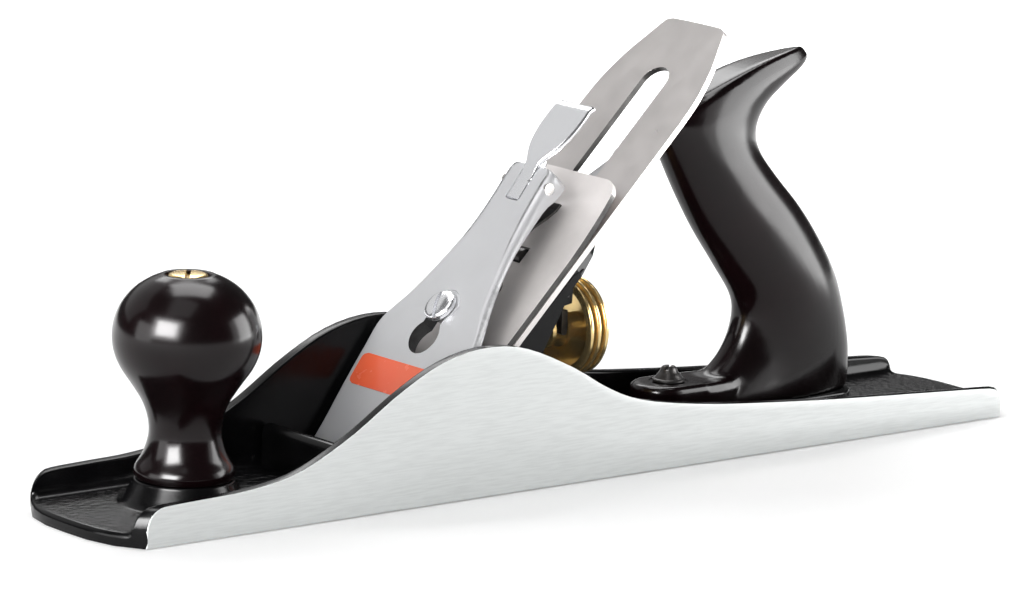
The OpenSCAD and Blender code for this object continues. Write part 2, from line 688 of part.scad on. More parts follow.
// Top and under faces seen from the side
lever_top = [
    [cap_foot_s, cap_foot_h + 0.9], [17, cap_foot_h + 2.6], [30, cap_foot_h + 5.1], [44, cap_foot_h + 7.3],
    [57, shoulder_h], [88, shoulder_h + 2.3], [112, shoulder_h + 5.2], [cap_end_s, shoulder_h + 5.6]
];
lever_under = [
    [cap_end_s, spring_seat + 0.2], [82, spring_seat], [57, shoulder_h - lever_cap_t],
    [44, cap_foot_h + 3.65], [26, cap_foot_h + 2.15], [14, cap_foot_h], [cap_foot_s, cap_foot_h]
];
lever_plan = concat(
    [[cap_foot_s - 1, 24.6], [44, 24.9]],
    smooth_open([
        [44, 24.9], [49.5, 25], [54, 24.6], [59, 22.8], [67, 19.4], [76, 16.4], [88, 13.4], [98, 11.9],
        [106, 11.3], [112, block_half_w], [cap_end_s + 1, block_half_w]
    ], 3)
);
module lever_cap() {
    color("#cfd1d6") on_bed() difference() {
        intersection() {
            across(60) polygon(concat(lever_top, lever_under));
            linear_extrude(40) polygon(mirrored(lever_plan));
        }
        translate([cap_screw_s - key_travel, 0, 0]) cylinder(d = head_d + 1.2, h = 40);
        round_slot(cap_screw_s - key_travel, cap_screw_s, lever_screw_d / 2 + 0.3, 40);
        translate([0, 0, shoulder_h + 0.4]) round_slot(cap_screw_s - 6, cap_screw_s, head_d / 2 + 1.4, 10);
        translate([cam_slot_s, -slot_half_w, 0]) cube([40, 2 * slot_half_w, 40]);
        cross_pin(pin_s, pin_h, cam_pin_d / 2 + hull_gap, 60);
        translate([spring_rivet_s, 0, 0]) cylinder(d = 3 + 2 * hull_gap, h = shoulder_h);
    }
}
band_s0 = 30.2;
band_s1 = 41.4;
band_half_w = 22.6;
band_t = 0.25;
// Plain enamel band with round corners across the lower face
module enamel_band() {
    rise = atan((lever_top[3][1] - lever_top[2][1]) / (lever_top[3][0] - lever_top[2][0]));
    r = 2.2;
    color("#e8502c") on_bed(lever_top[2][0]) translate([0, 0, lever_top[2][1] + 0.02]) rotate([0, -rise, 0])
        translate([band_s0 - lever_top[2][0], 0, 0]) linear_extrude(band_t) union() {
            for (x = [r, band_s1 - band_s0 - r], y = [-1, 1])
                translate([x, y * (band_half_w - r)]) circle(r = r);
            translate([r, -band_half_w]) square([band_s1 - band_s0 - 2 * r, 2 * band_half_w]);
            translate([0, r - band_half_w]) square([band_s1 - band_s0, 2 * (band_half_w - r)]);
        }
}
module lever_cap_screw() {
    under = shoulder_h + 0.5;
    color("#c4c6ca") on_bed(cap_screw_s) difference() {
        union() {
            translate([0, 0, -15.8]) cylinder(d = lever_screw_d, h = 15.8 + under);
            translate([0, 0, under]) cylinder(d = head_d, h = 1.6);
            translate([0, 0, under + 1.6]) intersection() {
                cylinder(d = head_d, h = 3);
                translate([0, 0, 1.6 - 10.9]) sphere(r = 10.9);
            }
        }
        rotate([0, 0, 25]) translate([-0.8, -8, under + 1.6]) cube([1.6, 16, 3]);
    }
}
spring_rivet_s = 90;
spring_t = 0.8;
// Leaf spring under the cam, riveted to the lever cap
module lever_cap_spring() {
    seat = spring_seat - hull_gap;
    top = [[84, seat], [95, seat], [102, seat - 1.1], [108, 8.9], [112, 7.85], [114.5, 7.8]];
    under = [for (i = [len(top) - 1 : -1 : 0]) [top[i][0], top[i][1] - spring_t]];
    color("#a9a59c") on_bed() difference() {
        across(15) polygon(concat(top, under));
        translate([spring_rivet_s, 0, 0]) cylinder(d = 3 + 2 * hull_gap, h = 30);
    }
}
module spring_rivet() {
    color("#8d8f90") on_bed(spring_rivet_s) translate([0, 0, spring_seat - spring_t - 1.2]) {
        cylinder(d = 5.5, h = 1.15);
        cylinder(d = 3, h = shoulder_h - spring_seat + spring_t + 1);
    }
}
module cam_pin() {
    color("#8d8f90") on_bed() cross_pin(pin_s, pin_h, cam_pin_d / 2, 2 * block_half_w - 0.2);
}
cam_r = 5.2;
cam_throw = 4.45;
stem_half_w = 3.3;
plate_h = shoulder_h + 7.3;
plate_t = 1.8;
thumb_pts = smooth_open([
    [-1.5, stem_half_w], [6.2, stem_half_w], [8.5, thumb_w * 0.26], [13, thumb_w * 0.4],
    [18.5, thumb_w * 0.48], [25, thumb_w / 2], [30, thumb_w / 2 - 0.6]
], 4);
// Cam lever: a nose under its pin presses the leaf spring when the thumb plate lies flat
module cam_lever() {
    color("#d9dadd") on_bed(pin_s) difference() {
        union() {
            cross_pin(0, pin_h, cam_r, 2 * stem_half_w);
            cross_pin(0, pin_h - cam_throw, cam_r, 2 * stem_half_w);
            translate([-2, -stem_half_w, pin_h]) cube([12, 2 * stem_half_w, plate_h - pin_h]);
            translate([0, 0, plate_h - plate_t]) linear_extrude(plate_t) polygon(mirrored(thumb_pts));
            translate([29.8, 0, plate_h - plate_t]) rotate([0, 32, 0])
                translate([0, 0.7 - thumb_w / 2, 0]) cube([3.6, thumb_w - 1.4, plate_t]);
        }
        cross_pin(0, pin_h, cam_pin_d / 2 + run_gap, 40);
    }
}

body();
front_knob();
knob_stud();
knob_nut();
tote();
tote_rod();
tote_nut();
tote_toe_screw();
frog();
frog_screws();
frog_washers();
frog_adjusting_screw();
frog_clip();
frog_clip_screw();
wheel_stud();
depth_wheel_hub();
depth_wheel();
yoke();
yoke_pin();
lateral_lever();
lateral_rivet();
lateral_roller();
plane_iron();
cap_iron();
cap_iron_screw();
lever_cap_screw();
lever_cap();
enamel_band();
lever_cap_spring();
spring_rivet();
cam_pin();
cam_lever();
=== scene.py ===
"""Bench plane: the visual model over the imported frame.

Lengths in the code are millimetres until a piece is placed. The bed frame has
x up the bed from the sole, y across it, and z standing square to it.
"""
import math

import bmesh
import bpy
from bpy.props import FloatProperty, FloatVectorProperty, PointerProperty
from mathutils import Matrix, Vector


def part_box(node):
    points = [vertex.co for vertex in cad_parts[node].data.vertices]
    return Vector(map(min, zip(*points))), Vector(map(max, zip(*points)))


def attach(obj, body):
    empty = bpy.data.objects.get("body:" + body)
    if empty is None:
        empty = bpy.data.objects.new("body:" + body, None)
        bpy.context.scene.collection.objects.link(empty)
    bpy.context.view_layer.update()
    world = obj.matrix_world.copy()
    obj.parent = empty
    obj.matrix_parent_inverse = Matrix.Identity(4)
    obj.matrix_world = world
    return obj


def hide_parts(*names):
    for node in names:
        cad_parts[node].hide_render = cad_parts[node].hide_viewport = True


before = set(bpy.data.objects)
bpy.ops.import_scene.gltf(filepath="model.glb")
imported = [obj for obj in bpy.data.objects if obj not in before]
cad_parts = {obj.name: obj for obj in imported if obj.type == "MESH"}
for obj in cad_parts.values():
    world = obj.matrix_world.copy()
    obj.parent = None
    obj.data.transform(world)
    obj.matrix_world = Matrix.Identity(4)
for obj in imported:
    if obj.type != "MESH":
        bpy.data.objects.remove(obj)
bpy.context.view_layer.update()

bl_info = {
    "name": "Bench plane",
    "version": (1, 0, 0),
    "blender": (4, 5, 0),
    "location": "View3D > Sidebar > Bench plane",
    "description": "Builds the visual model of a metal bench plane over its packed frame",
    "category": "Object",
}

MM = 0.001
WELD = 1e-4

# Casting: half length over the bowed ends, half width, depth of the bow, thickness of a cheek and the floor's height
HALF_L, HALF_W, BOW, CHEEK, SOLE = 186.0, 31.5, 8.8, 4.0, 4.3
CORNER = HALF_L - BOW
END_ROUNDING = 1.9
MOUTH_X, RIB_X, KNOB_X, KNOB_Z = -74.0, -90.0, -141.0, 12.0
BORED_TO = 30

# Rear handle: its seat, its toe screw and the tie rod, which leans forward
SEAT_Z, TOE_SCREW_X, ROD_X, ROD_LEAN = 11.0, 56.0, 111.0, -29.0
ROD = Matrix.Translation((ROD_X, 0, SEAT_Z)) @ Matrix.Rotation(math.radians(ROD_LEAN), 4, "Y")

# Depth wheel: the place of its near face, and its width
WHEEL_X, WHEEL_Z, WHEEL_W = 9.0, 44.0, 7.65

# On the bed: cutter's thickness, keyhole's large end, lever cap screw, spring rivet, and the cam pin with its height
CUTTER_T, KEYHOLE_S, SCREW_S, RIVET_S, CAM_S, CAM_H = 2.0, 52.0, 63.0, 90.0, 113.4, 17.6
BED = Matrix.Translation((MOUTH_X, 0, 0)) @ Matrix.Rotation(math.radians(-45), 4, "Y")


def span(node, axis):
    """A node's size along one axis, in metres."""
    low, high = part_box(node)
    return high[axis] - low[axis]


# Sizes and colours that a user would change

class PlaneSizes(bpy.types.PropertyGroup):
    knob_radius: FloatProperty(name="Knob radius", description="Largest radius of the front knob",
                               default=span("front_knob", 1) / 2, unit="LENGTH")
    knob_height: FloatProperty(name="Knob height", description="Height of the front knob",
                               default=span("front_knob", 2), unit="LENGTH")
    grip_thickness: FloatProperty(name="Grip thickness", description="Thickness of the rear handle",
                                  default=0.025, unit="LENGTH")
    cutter_width: FloatProperty(name="Cutter width", description="Width of the cutter",
                                default=span("plane_iron", 1), unit="LENGTH")
    wheel_radius: FloatProperty(name="Wheel radius", description="Radius of the depth wheel's rim",
                                default=span("depth_wheel", 2) / 2, unit="LENGTH")
    band_length: FloatProperty(name="Band length", description="Length of the enamel band up the lever cap",
                               default=0.0112, unit="LENGTH")


class PlaneColours(bpy.types.PropertyGroup):
    paint: FloatVectorProperty(name="Casting paint", description="Black paint of the casting",
                               default=(0.0026, 0.0026, 0.0029), subtype="COLOR", min=0, max=1)
    ground: FloatVectorProperty(name="Ground iron", description="Bare ground cheeks and sole",
                                default=(0.66, 0.68, 0.675), subtype="COLOR", min=0, max=1)
    handle: FloatVectorProperty(name="Handle", description="Polished knob and rear handle",
                                default=(0.0042, 0.0018, 0.0022), subtype="COLOR", min=0, max=1)
    brass: FloatVectorProperty(name="Brass", description="Nuts and depth wheel",
                               default=(0.82, 0.61, 0.28), subtype="COLOR", min=0, max=1)
    steel: FloatVectorProperty(name="Cutter steel", description="Brushed steel of the cutter",
                               default=(0.53, 0.505, 0.495), subtype="COLOR", min=0, max=1)
    nickel: FloatVectorProperty(name="Plating", description="Satin plating of the lever cap",
                                default=(0.81, 0.815, 0.835), subtype="COLOR", min=0, max=1)
    enamel: FloatVectorProperty(name="Enamel", description="Band across the lever cap",
                                default=(0.85, 0.125, 0.05), subtype="COLOR", min=0, max=1)
    floor: FloatVectorProperty(name="Floor", description="Studio floor",
                               default=(0.85, 0.85, 0.85), subtype="COLOR", min=0, max=1)


def sizes():
    return bpy.context.scene.plane_sizes


def colours():
    return bpy.context.scene.plane_colours


# Curves

def spline(points, steps):
    """Points on a smooth curve through a few given ones."""
    out, last = [], len(points) - 1
    for i in range(last):
        a, b, c, d = (Vector(points[max(0, min(last, k))]) for k in (i - 1, i, i + 1, i + 2))
        for j in range(steps):
            t = j / steps
            out.append(0.5 * (2 * b + (c - a) * t + (2 * a - 5 * b + 4 * c - d) * t * t
                              + (3 * b - a - 3 * c + d) * t ** 3))
    return out + [Vector(points[-1])]


def reader(points, steps=6):
    """A function that reads a height off a curve drawn from left to right."""
    curve = spline(points, steps)

    def at(x):
        for a, b in zip(curve, curve[1:]):
            if x <= b[0]:
                return a[1] + (b[1] - a[1]) * max(0.0, (x - a[0]) / (b[0] - a[0]))
        return curve[-1][1]
    return at


def arc(cx, cy, r, start, end, steps):
    """Points of an arc, with its angles in degrees."""
    turns = [math.radians(start + (end - start) * k / steps) for k in range(steps + 1)]
    return [(cx + r * math.cos(t), cy + r * math.sin(t)) for t in turns]


def mirrored(points):
    """An outline from its half above y = 0."""
    return list(points) + [(x, -y) for x, y in reversed(points)]


def both_sides(half):
    """A closed section in y and z from its half, which starts and ends on the middle line."""
    return half + [(-y, z) for y, z in reversed(half[1:-1])]


def ease(t):
    """Rises softly from 0 to 1."""
    t = max(0.0, min(1.0, t))
    return t * t * (3 - 2 * t)


# Mesh tools

def chain(bm, points, closed):
    verts = [bm.verts.new(p) for p in points]
    pairs = list(zip(verts, verts[1:])) + ([(verts[-1], verts[0])] if closed else [])
    return verts, [bm.edges.new(p) for p in pairs]


def settled(bm):
    """Sorts the elements by place, because the operators leave them in an order that changes from run to run."""
    def renumber(elements, key):
        for k, element in enumerate(sorted(elements, key=key)):
            element.index = k
        elements.sort()
    renumber(bm.verts, lambda v: tuple(round(c, 4) for c in v.co))
    for elements in (bm.edges, bm.faces):
        renumber(elements, lambda e: sorted(v.index for v in e.verts))
    return bm


def outward(bm):
    """Turns the faces of a closed shape outward; the operator alone leaves some shapes inside out."""
    bmesh.ops.recalc_face_normals(bm, faces=bm.faces)
    if bm.calc_volume(signed=True) < 0:
        bmesh.ops.reverse_faces(bm, faces=bm.faces)


def loft(rings):
    """Pulls a closed section through a row of places and closes the ends."""
    bm = bmesh.new()
    verts, edges = chain(bm, rings[0], True)
    ends = [list(edges)]
    for ring in rings[1:]:
        made = bmesh.ops.extrude_edge_only(bm, edges=edges)["geom"]
        fresh = {v for v in made if isinstance(v, bmesh.types.BMVert)}
        follow = {e.other_vert(v): v for v in fresh for e in v.link_edges if e.other_vert(v) not in fresh}
        verts = [follow[v] for v in verts]
        for v, p in zip(verts, ring):
            v.co = p
        edges = [bm.edges.get(pair) for pair in zip(verts, verts[1:] + verts[:1])]
    ends.append(edges)
    made = [f for e in ends for f in bmesh.ops.holes_fill(bm, edges=e, sides=0)["faces"]]
    bmesh.ops.triangulate(bm, faces=made, quad_method="BEAUTY", ngon_method="BEAUTY")
    outward(bm)
    return settled(bm)


def slab(outline, low, high):
    """A flat outline pulled up into a solid."""
    bm = bmesh.new()
    _, edges = chain(bm, [(x, y, low) for x, y in outline], True)
    face = bmesh.ops.holes_fill(bm, edges=edges, sides=0)["faces"]
    top = bmesh.ops.extrude_face_region(bm, geom=face)["geom"]
    verts = [v for v in top if isinstance(v, bmesh.types.BMVert)]
    bmesh.ops.translate(bm, verts=verts, vec=(0, 0, high - low))
    outward(bm)
    return settled(bm)


def across(outline, half):
    """An outline in x and z, made a solid from -half to half across the plane."""
    bm = slab(outline, -half, half)
    bm.transform(Matrix.Rotation(math.pi / 2, 4, "X"))
    return bm


def turned(profile, steps=72):
    """A profile of radius and height, turned about the z axis."""
    bm = bmesh.new()
    verts, edges = chain(bm, [(r, 0, z) for r, z in profile], False)
    bmesh.ops.spin(bm, geom=verts + edges, cent=(0, 0, 0), axis=(0, 0, 1),
                   angle=math.tau, steps=steps, use_merge=True)
    bmesh.ops.remove_doubles(bm, verts=bm.verts, dist=WELD)
    outward(bm)
    return settled(bm)


def drum(r, low, high, steps=64):
    """A plain round bar, used to cut bores."""
    return turned([(0, low), (r, low), (r, high), (0, high)], steps)


def track(x0, x1, r, steps=16):
    """The outline of a slot with round ends."""
    return arc(x1, 0, r, -90, 90, steps) + arc(x0, 0, r, 90, 270, steps)


def lying(bm, axis, x=0.0, z=0.0):
    """A shape turned a quarter about the x or y axis and moved to its place."""
    bm.transform(Matrix.Translation((x, 0, z)) @ Matrix.Rotation(math.pi / 2, 4, axis))
    return bm


def box_outline(x0, x1, half):
    """A rectangle from x0 to x1, as wide on both sides of y = 0."""
    return [(x0, -half), (x1, -half), (x1, half), (x0, half)]


def moved(bm, x=0.0, y=0.0, z=0.0):
    bm.transform(Matrix.Translation((x, y, z)))
    return bm


def above(level):
    """A test for the edges that lie wholly above a level."""
    return lambda e: all(v.co.z > level for v in e.verts)


def soften(bm, width, segments=3, wanted=None):
    """Rounds the edges that a test picks, or all that turn by more than about 35 degrees."""
    bm.normal_update()
    sharp = [e for e in bm.edges if len(e.link_faces) == 2 and e.calc_face_angle(0) > 0.6]
    picked = [e for e in sharp if wanted is None or wanted(e)]
    bmesh.ops.bevel(bm, geom=picked, offset=width, offset_type="OFFSET", affect="EDGES", segments=segments,
                    profile=0.5, clamp_overlap=True, material=-1)
    return settled(bm)


def joined(*parts):
    """Several closed shapes in one mesh."""
    whole = parts[0]
    for part in parts[1:]:
        sheet = bpy.data.meshes.new("part")
        part.to_mesh(sheet)
        part.free()
        whole.from_mesh(sheet)
        bpy.data.meshes.remove(sheet)
    return whole


def as_object(bm, name):
    mesh = bpy.data.meshes.new(name)
    bm.to_mesh(mesh)
    bm.free()
    obj = bpy.data.objects.new(name, mesh)
    bpy.context.scene.collection.objects.link(obj)
    return obj


def evaluated(*objects):
    """The first object with its modifiers applied; all the objects given are removed."""
    mesh = bpy.data.meshes.new_from_object(objects[0].evaluated_get(bpy.context.evaluated_depsgraph_get()))
    result = bmesh.new()
    result.from_mesh(mesh)
    settled(result)
    bpy.data.meshes.remove(mesh)
    for obj in objects:
        data = obj.data
        bpy.data.objects.remove(obj)
        bpy.data.meshes.remove(data)
    return result


def combined(bm, tool, operation="DIFFERENCE"):
    """Cuts one closed shape out of another, or melts the two together."""
    main, other = as_object(bm, "main"), as_object(tool, "tool")
    cut = main.modifiers.new("cut", "BOOLEAN")
    cut.operation, cut.solver, cut.object = operation, "EXACT", other
    result = evaluated(main, other)
    bmesh.ops.remove_doubles(result, verts=result.verts, dist=WELD)
    return result


def melted(bm, grain):
    """Closes crossing shapes into one even skin, so that their joints can be smoothed."""
    obj = as_object(bm, "melt")
    skin = obj.modifiers.new("skin", "REMESH")
    skin.mode, skin.voxel_size = "VOXEL", grain
    return evaluated(obj)


def dress(bm, index, wanted):
    """Gives another material to the faces whose middle and normal pass a test."""
    bm.normal_update()
    for f in bm.faces:
        if wanted(f.calc_center_median(), f.normal):
            f.material_index = index


def place(name, bm, materials, body, nodes, smooth=35, on_bed=False, round_edges=0.0):
    """Makes the finished object, in metres, and ties it to the frame."""
    if on_bed:
        bm.transform(BED)
    bm.transform(Matrix.Scale(MM, 4))
    mesh = bpy.data.meshes.new(name)
    bm.to_mesh(mesh)
    bm.free()
    mesh.shade_smooth()
    mesh.set_sharp_from_angle(angle=math.radians(smooth))
    for m in materials:
        mesh.materials.append(m)
    obj = bpy.data.objects.new(name, mesh)
    bpy.context.scene.collection.objects.link(obj)
    if round_edges:
        bevel = obj.modifiers.new("edges", "BEVEL")
        bevel.width, bevel.segments, bevel.limit_method = round_edges * MM, 2, "ANGLE"
        bevel.angle_limit, bevel.harden_normals = math.radians(40), True
    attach(obj, body)
    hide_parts(*nodes)


# Finishes

def node_group(name, inputs, output):
    tree = bpy.data.node_groups.new(name, "ShaderNodeTree")
    for label, kind, value in inputs:
        socket = tree.interface.new_socket(name=label, in_out="INPUT", socket_type=kind)
        socket.default_value = value
    tree.interface.new_socket(name=output, in_out="OUTPUT", socket_type="NodeSocketFloat")
    return tree, tree.nodes.new("NodeGroupInput"), tree.nodes.new("NodeGroupOutput")


def streaks_group():
    """Fine marks drawn out along one direction, as grinding and brushing leave them."""
    if "Grinding marks" in bpy.data.node_groups:
        return bpy.data.node_groups["Grinding marks"]
    tree, given, out = node_group("Grinding marks", [
        ("Vector", "NodeSocketVector", (0, 0, 0)), ("Grain", "NodeSocketVector", (1, 40, 40)),
        ("Scale", "NodeSocketFloat", 40.0), ("Break", "NodeSocketFloat", 0.35)], "Marks")
    stretch = tree.nodes.new("ShaderNodeVectorMath")
    stretch.operation = "MULTIPLY"
    fine, broad, mix = (tree.nodes.new("ShaderNodeTexNoise"), tree.nodes.new("ShaderNodeTexNoise"),
                        tree.nodes.new("ShaderNodeMix"))
    fine.inputs["Detail"].default_value = 6
    broad.inputs["Scale"].default_value = 28
    broad.inputs["Detail"].default_value = 3
    link = tree.links.new
    link(given.outputs["Vector"], stretch.inputs[0])
    link(given.outputs["Grain"], stretch.inputs[1])
    link(stretch.outputs[0], fine.inputs["Vector"])
    link(given.outputs["Scale"], fine.inputs["Scale"])
    link(given.outputs["Vector"], broad.inputs["Vector"])
    link(given.outputs["Break"], mix.inputs["Factor"])
    link(fine.outputs["Fac"], mix.inputs["A"])
    link(broad.outputs["Fac"], mix.inputs["B"])
    link(mix.outputs["Result"], out.inputs["Marks"])
    return tree


def clouds_group():
    """Soft uneven patches, for wear, handling and cast skin."""
    if "Uneven patches" in bpy.data.node_groups:
        return bpy.data.node_groups["Uneven patches"]
    tree, given, out = node_group("Uneven patches", [
        ("Vector", "NodeSocketVector", (0, 0, 0)), ("Grain", "NodeSocketVector", (1, 1, 1)),
        ("Scale", "NodeSocketFloat", 60.0)], "Patches")
    noise, ramp = tree.nodes.new("ShaderNodeTexNoise"), tree.nodes.new("ShaderNodeMapRange")
    noise.inputs["Detail"].default_value = 5
    ramp.inputs["From Min"].default_value, ramp.inputs["From Max"].default_value = 0.4, 0.65
    stretch = tree.nodes.new("ShaderNodeVectorMath")
    stretch.operation = "MULTIPLY"
    link = tree.links.new
    link(given.outputs["Vector"], stretch.inputs[0])
    link(given.outputs["Grain"], stretch.inputs[1])
    link(stretch.outputs[0], noise.inputs["Vector"])
    link(given.outputs["Scale"], noise.inputs["Scale"])
    link(noise.outputs["Fac"], ramp.inputs["Value"])
    link(ramp.outputs["Result"], out.inputs["Patches"])
    return tree


def finish(name, colour, second, metallic, rough, grain=(1, 1, 1), scale=60.0, patches=60.0,
           depth=0.0, coat=0.0, specular=0.5, marks_mix=0.35, patch_grain=(1, 1, 1)):
    """A surface of two close colours in patches, with marks in its gloss, and relief of a depth in millimetres."""
    if name in bpy.data.materials:
        return bpy.data.materials[name]
    mat = bpy.data.materials.new(name)
    mat.use_nodes = True
    tree = mat.node_tree
    shader = tree.nodes["Principled BSDF"]
    link = tree.links.new
    where = tree.nodes.new("ShaderNodeTexCoord").outputs["Object"]
    marks, clouds = tree.nodes.new("ShaderNodeGroup"), tree.nodes.new("ShaderNodeGroup")
    marks.node_tree, clouds.node_tree = streaks_group(), clouds_group()
    for group in (marks, clouds):
        link(where, group.inputs["Vector"])
    marks.inputs["Grain"].default_value = grain
    marks.inputs["Scale"].default_value = scale
    marks.inputs["Break"].default_value = marks_mix
    clouds.inputs["Scale"].default_value = patches
    clouds.inputs["Grain"].default_value = patch_grain
    tint = tree.nodes.new("ShaderNodeMix")
    tint.data_type = "RGBA"
    tint.inputs["A"].default_value = (*colour, 1)
    tint.inputs["B"].default_value = (*second, 1)
    link(clouds.outputs["Patches"], tint.inputs["Factor"])
    link(tint.outputs["Result"], shader.inputs["Base Color"])
    gloss = tree.nodes.new("ShaderNodeMapRange")
    gloss.inputs["From Min"].default_value, gloss.inputs["From Max"].default_value = 0.3, 0.7
    gloss.inputs["To Min"].default_value, gloss.inputs["To Max"].default_value = rough
    link(marks.outputs["Marks"], gloss.inputs["Value"])
    link(gloss.outputs["Result"], shader.inputs["Roughness"])
    if depth:
        bump = tree.nodes.new("ShaderNodeBump")
        bump.inputs["Strength"].default_value = 1.0
        bump.inputs["Distance"].default_value = depth * MM
        link(marks.outputs["Marks"], bump.inputs["Height"])
        link(bump.outputs["Normal"], shader.inputs["Normal"])
    shader.inputs["Metallic"].default_value = metallic
    shader.inputs["Coat Weight"].default_value = coat
    shader.inputs["Coat Roughness"].default_value = 0.05
    shader.inputs["Specular IOR Level"].default_value = specular
    return mat


def shade(colour, k):
    return tuple(min(1.0, c * k) for c in colour)


def black_paint():
    c = colours().paint
    return finish("Glossy casting paint", c, shade(c, 1.8), 0, (0.15, 0.26), scale=260, patches=90, depth=0.03,
                  specular=0.18)


def pebbled_paint():
    c = colours().paint
    return finish("Cast floor paint", c, shade(c, 2.2), 0, (0.14, 0.26), scale=560, patches=150, depth=0.9,
                  marks_mix=0.03, specular=0.25)


def ground_iron():
    c = colours().ground
    return finish("Ground iron", c, shade(c, 0.91), 0.25, (0.4, 0.55), grain=(1, 30, 30), scale=55, patches=100,
                  depth=0.01, marks_mix=0.08, patch_grain=(1, 13, 13))


def polished_plastic():
    c = colours().handle
    return finish("Polished dark handle", c, (c[0] * 1.6, c[1] * 1.2, c[2] * 1.3), 0, (0.15, 0.22), scale=120,
                  patches=45, depth=0.003, specular=0.25)


def polished_brass():
    c = colours().brass
    return finish("Turned brass", c, shade(c, 0.85), 0.85, (0.18, 0.28), grain=(30, 1, 1), scale=60, patches=120,
                  depth=0.004)


# Brass darkened to a tenth: painted shade at the bottoms of the depth wheel's grooves.
def groove_shade_brass():
    c = shade(colours().brass, 0.1)
    return finish("Painted shade in brass grooves", c, shade(c, 0.6), 0.3, (0.4, 0.55), scale=120, patches=200)


def brushed_cutter():
    c = colours().steel
    return finish("Brushed cutter steel", c, shade(c, 0.9), 0.85, (0.26, 0.38), scale=150, patches=45,
                  depth=0.005)


def satin_cap_iron():
    c = colours().steel
    return finish("Cap iron steel", shade(c, 1.42), shade(c, 1.26), 0.3, (0.3, 0.4), scale=120,
                  patches=50, depth=0.003)


def satin_plating():
    c = shade(colours().nickel, 0.6)
    return finish("Satin plating", c, shade(c, 0.97), 0.15, (0.36, 0.42), scale=90, patches=70, marks_mix=0.0)


def bright_plating():
    c = colours().nickel
    return finish("Bright plating", c, shade(c, 0.98), 0.9, (0.18, 0.21), scale=90, patches=60, marks_mix=0.0)


def cast_flank():
    c = shade(colours().nickel, 0.54)
    return finish("Cast flank", c, shade(c, 0.72), 0.1, (0.4, 0.55), scale=700, patches=420, depth=0.12,
                  marks_mix=0.0)


# Unplated cast iron darkened to near black: painted shade for the underside of the lever cap and the walls of its
# keyhole.
def unplated_underside_shade():
    c = shade(colours().nickel, 0.05)
    return finish("Unplated underside with painted shade", c, shade(c, 0.6), 0, (0.45, 0.6), scale=700, patches=300, specular=0.2)


def band_enamel():
    c = colours().enamel
    return finish("Band enamel", c, (c[0] * 0.96, c[1] * 1.12, c[2] * 1.2), 0, (0.24, 0.28), scale=200,
                  patches=60, coat=0.3, marks_mix=0.0)


# Near-black steel: the toe screw's dark finish, and painted shade on the cutter's slot walls, the cap iron's long
# sides, the yoke and the lever cap spring.
def blackened_steel_and_shade():
    c = colours().steel
    return finish("Blackened steel and painted shade", shade(c, 0.07), shade(c, 0.12), 0.6, (0.26, 0.4), scale=200, patches=140,
                  depth=0.012)


def screw_steel():
    c = colours().steel
    return finish("Screw steel", shade(c, 1.1), shade(c, 0.9), 1, (0.16, 0.26), scale=120, patches=150,
                  depth=0.004)


# Casting

def bow(y):
    """How far the ends stand out past the corners, across the casting."""
    return BOW * (1 - min(1.0, abs(y) / HALF_W) ** 3.2)


cheek_line = reader([
    (-CORNER - 1, 7.6), (-CORNER, 7.6), (-CORNER + 1.3, 9.6), (-CORNER + 3.4, 11.5), (-CORNER + 7, 12.6),
    (-CORNER + 20, 13.1), (-139, 13.8), (-120, 17), (-100, 26), (-81, 37.6), (-64, 45.6), (-47, 48.7),
    (-30, 46.6), (-10, 38), (4, 30), (19, 24.2), (44, 20), (72, 17.2), (106, 14.6), (CORNER - 13, 11),
    (CORNER - 4, 10.1), (CORNER - 1.6, 9), (CORNER - 0.2, 6.8), (CORNER + 1, 6.6)], 8)


def casting_section(u):
    """The trough's outline at one place along the casting."""
    top = cheek_line(u)
    inner = HALF_W - CHEEK
    t = (abs(u) - (CORNER - END_ROUNDING)) / END_ROUNDING
    drop = END_ROUNDING * (1 - math.sqrt(max(0.0, 1 - t * t))) if t > 0 else 0.0
    fillet = max(1.2, min(4.5, top - SOLE - 1.6))
    path = [(0, SOLE), (7, SOLE), (14, SOLE), (20, SOLE)]
    path += arc(inner - fillet, SOLE + fillet, fillet, -90, 0, 7)
    path += arc(inner + 0.9, top - 0.9, 0.9, 180, 90, 5)
    path += arc(HALF_W - 0.4, top - 0.4, 0.4, 90, 0, 4)
    path += [(HALF_W, top - 2.6), (HALF_W, top * 0.5), (HALF_W, 0.5), (HALF_W - 0.15, 0.15), (HALF_W - 0.5, 0)]
    path = [(y, z - (drop if z > 1 else 0)) for y, z in path] + [(22, 0), (11, 0), (0, 0)]
    way = math.copysign(ease((abs(u) - CORNER + 22) / 22), u)
    return [(u + way * bow(y), y, z) for y, z in both_sides(path)]


def stations():
    """Places of the casting's sections, close together where the ends curve."""
    near_end = [0, 0.04, 0.13, 0.28, 0.5, 0.75, 1, 1.4, 2, 2.8, 3.6, 5, 7, 10, 14, 18, 22, 27, 33]
    clear = 40
    middle = [-CORNER + clear + k * (2 * CORNER - 2 * clear) / 56 for k in range(57)]
    return [-CORNER + d for d in near_end] + middle + [CORNER - d for d in reversed(near_end)]


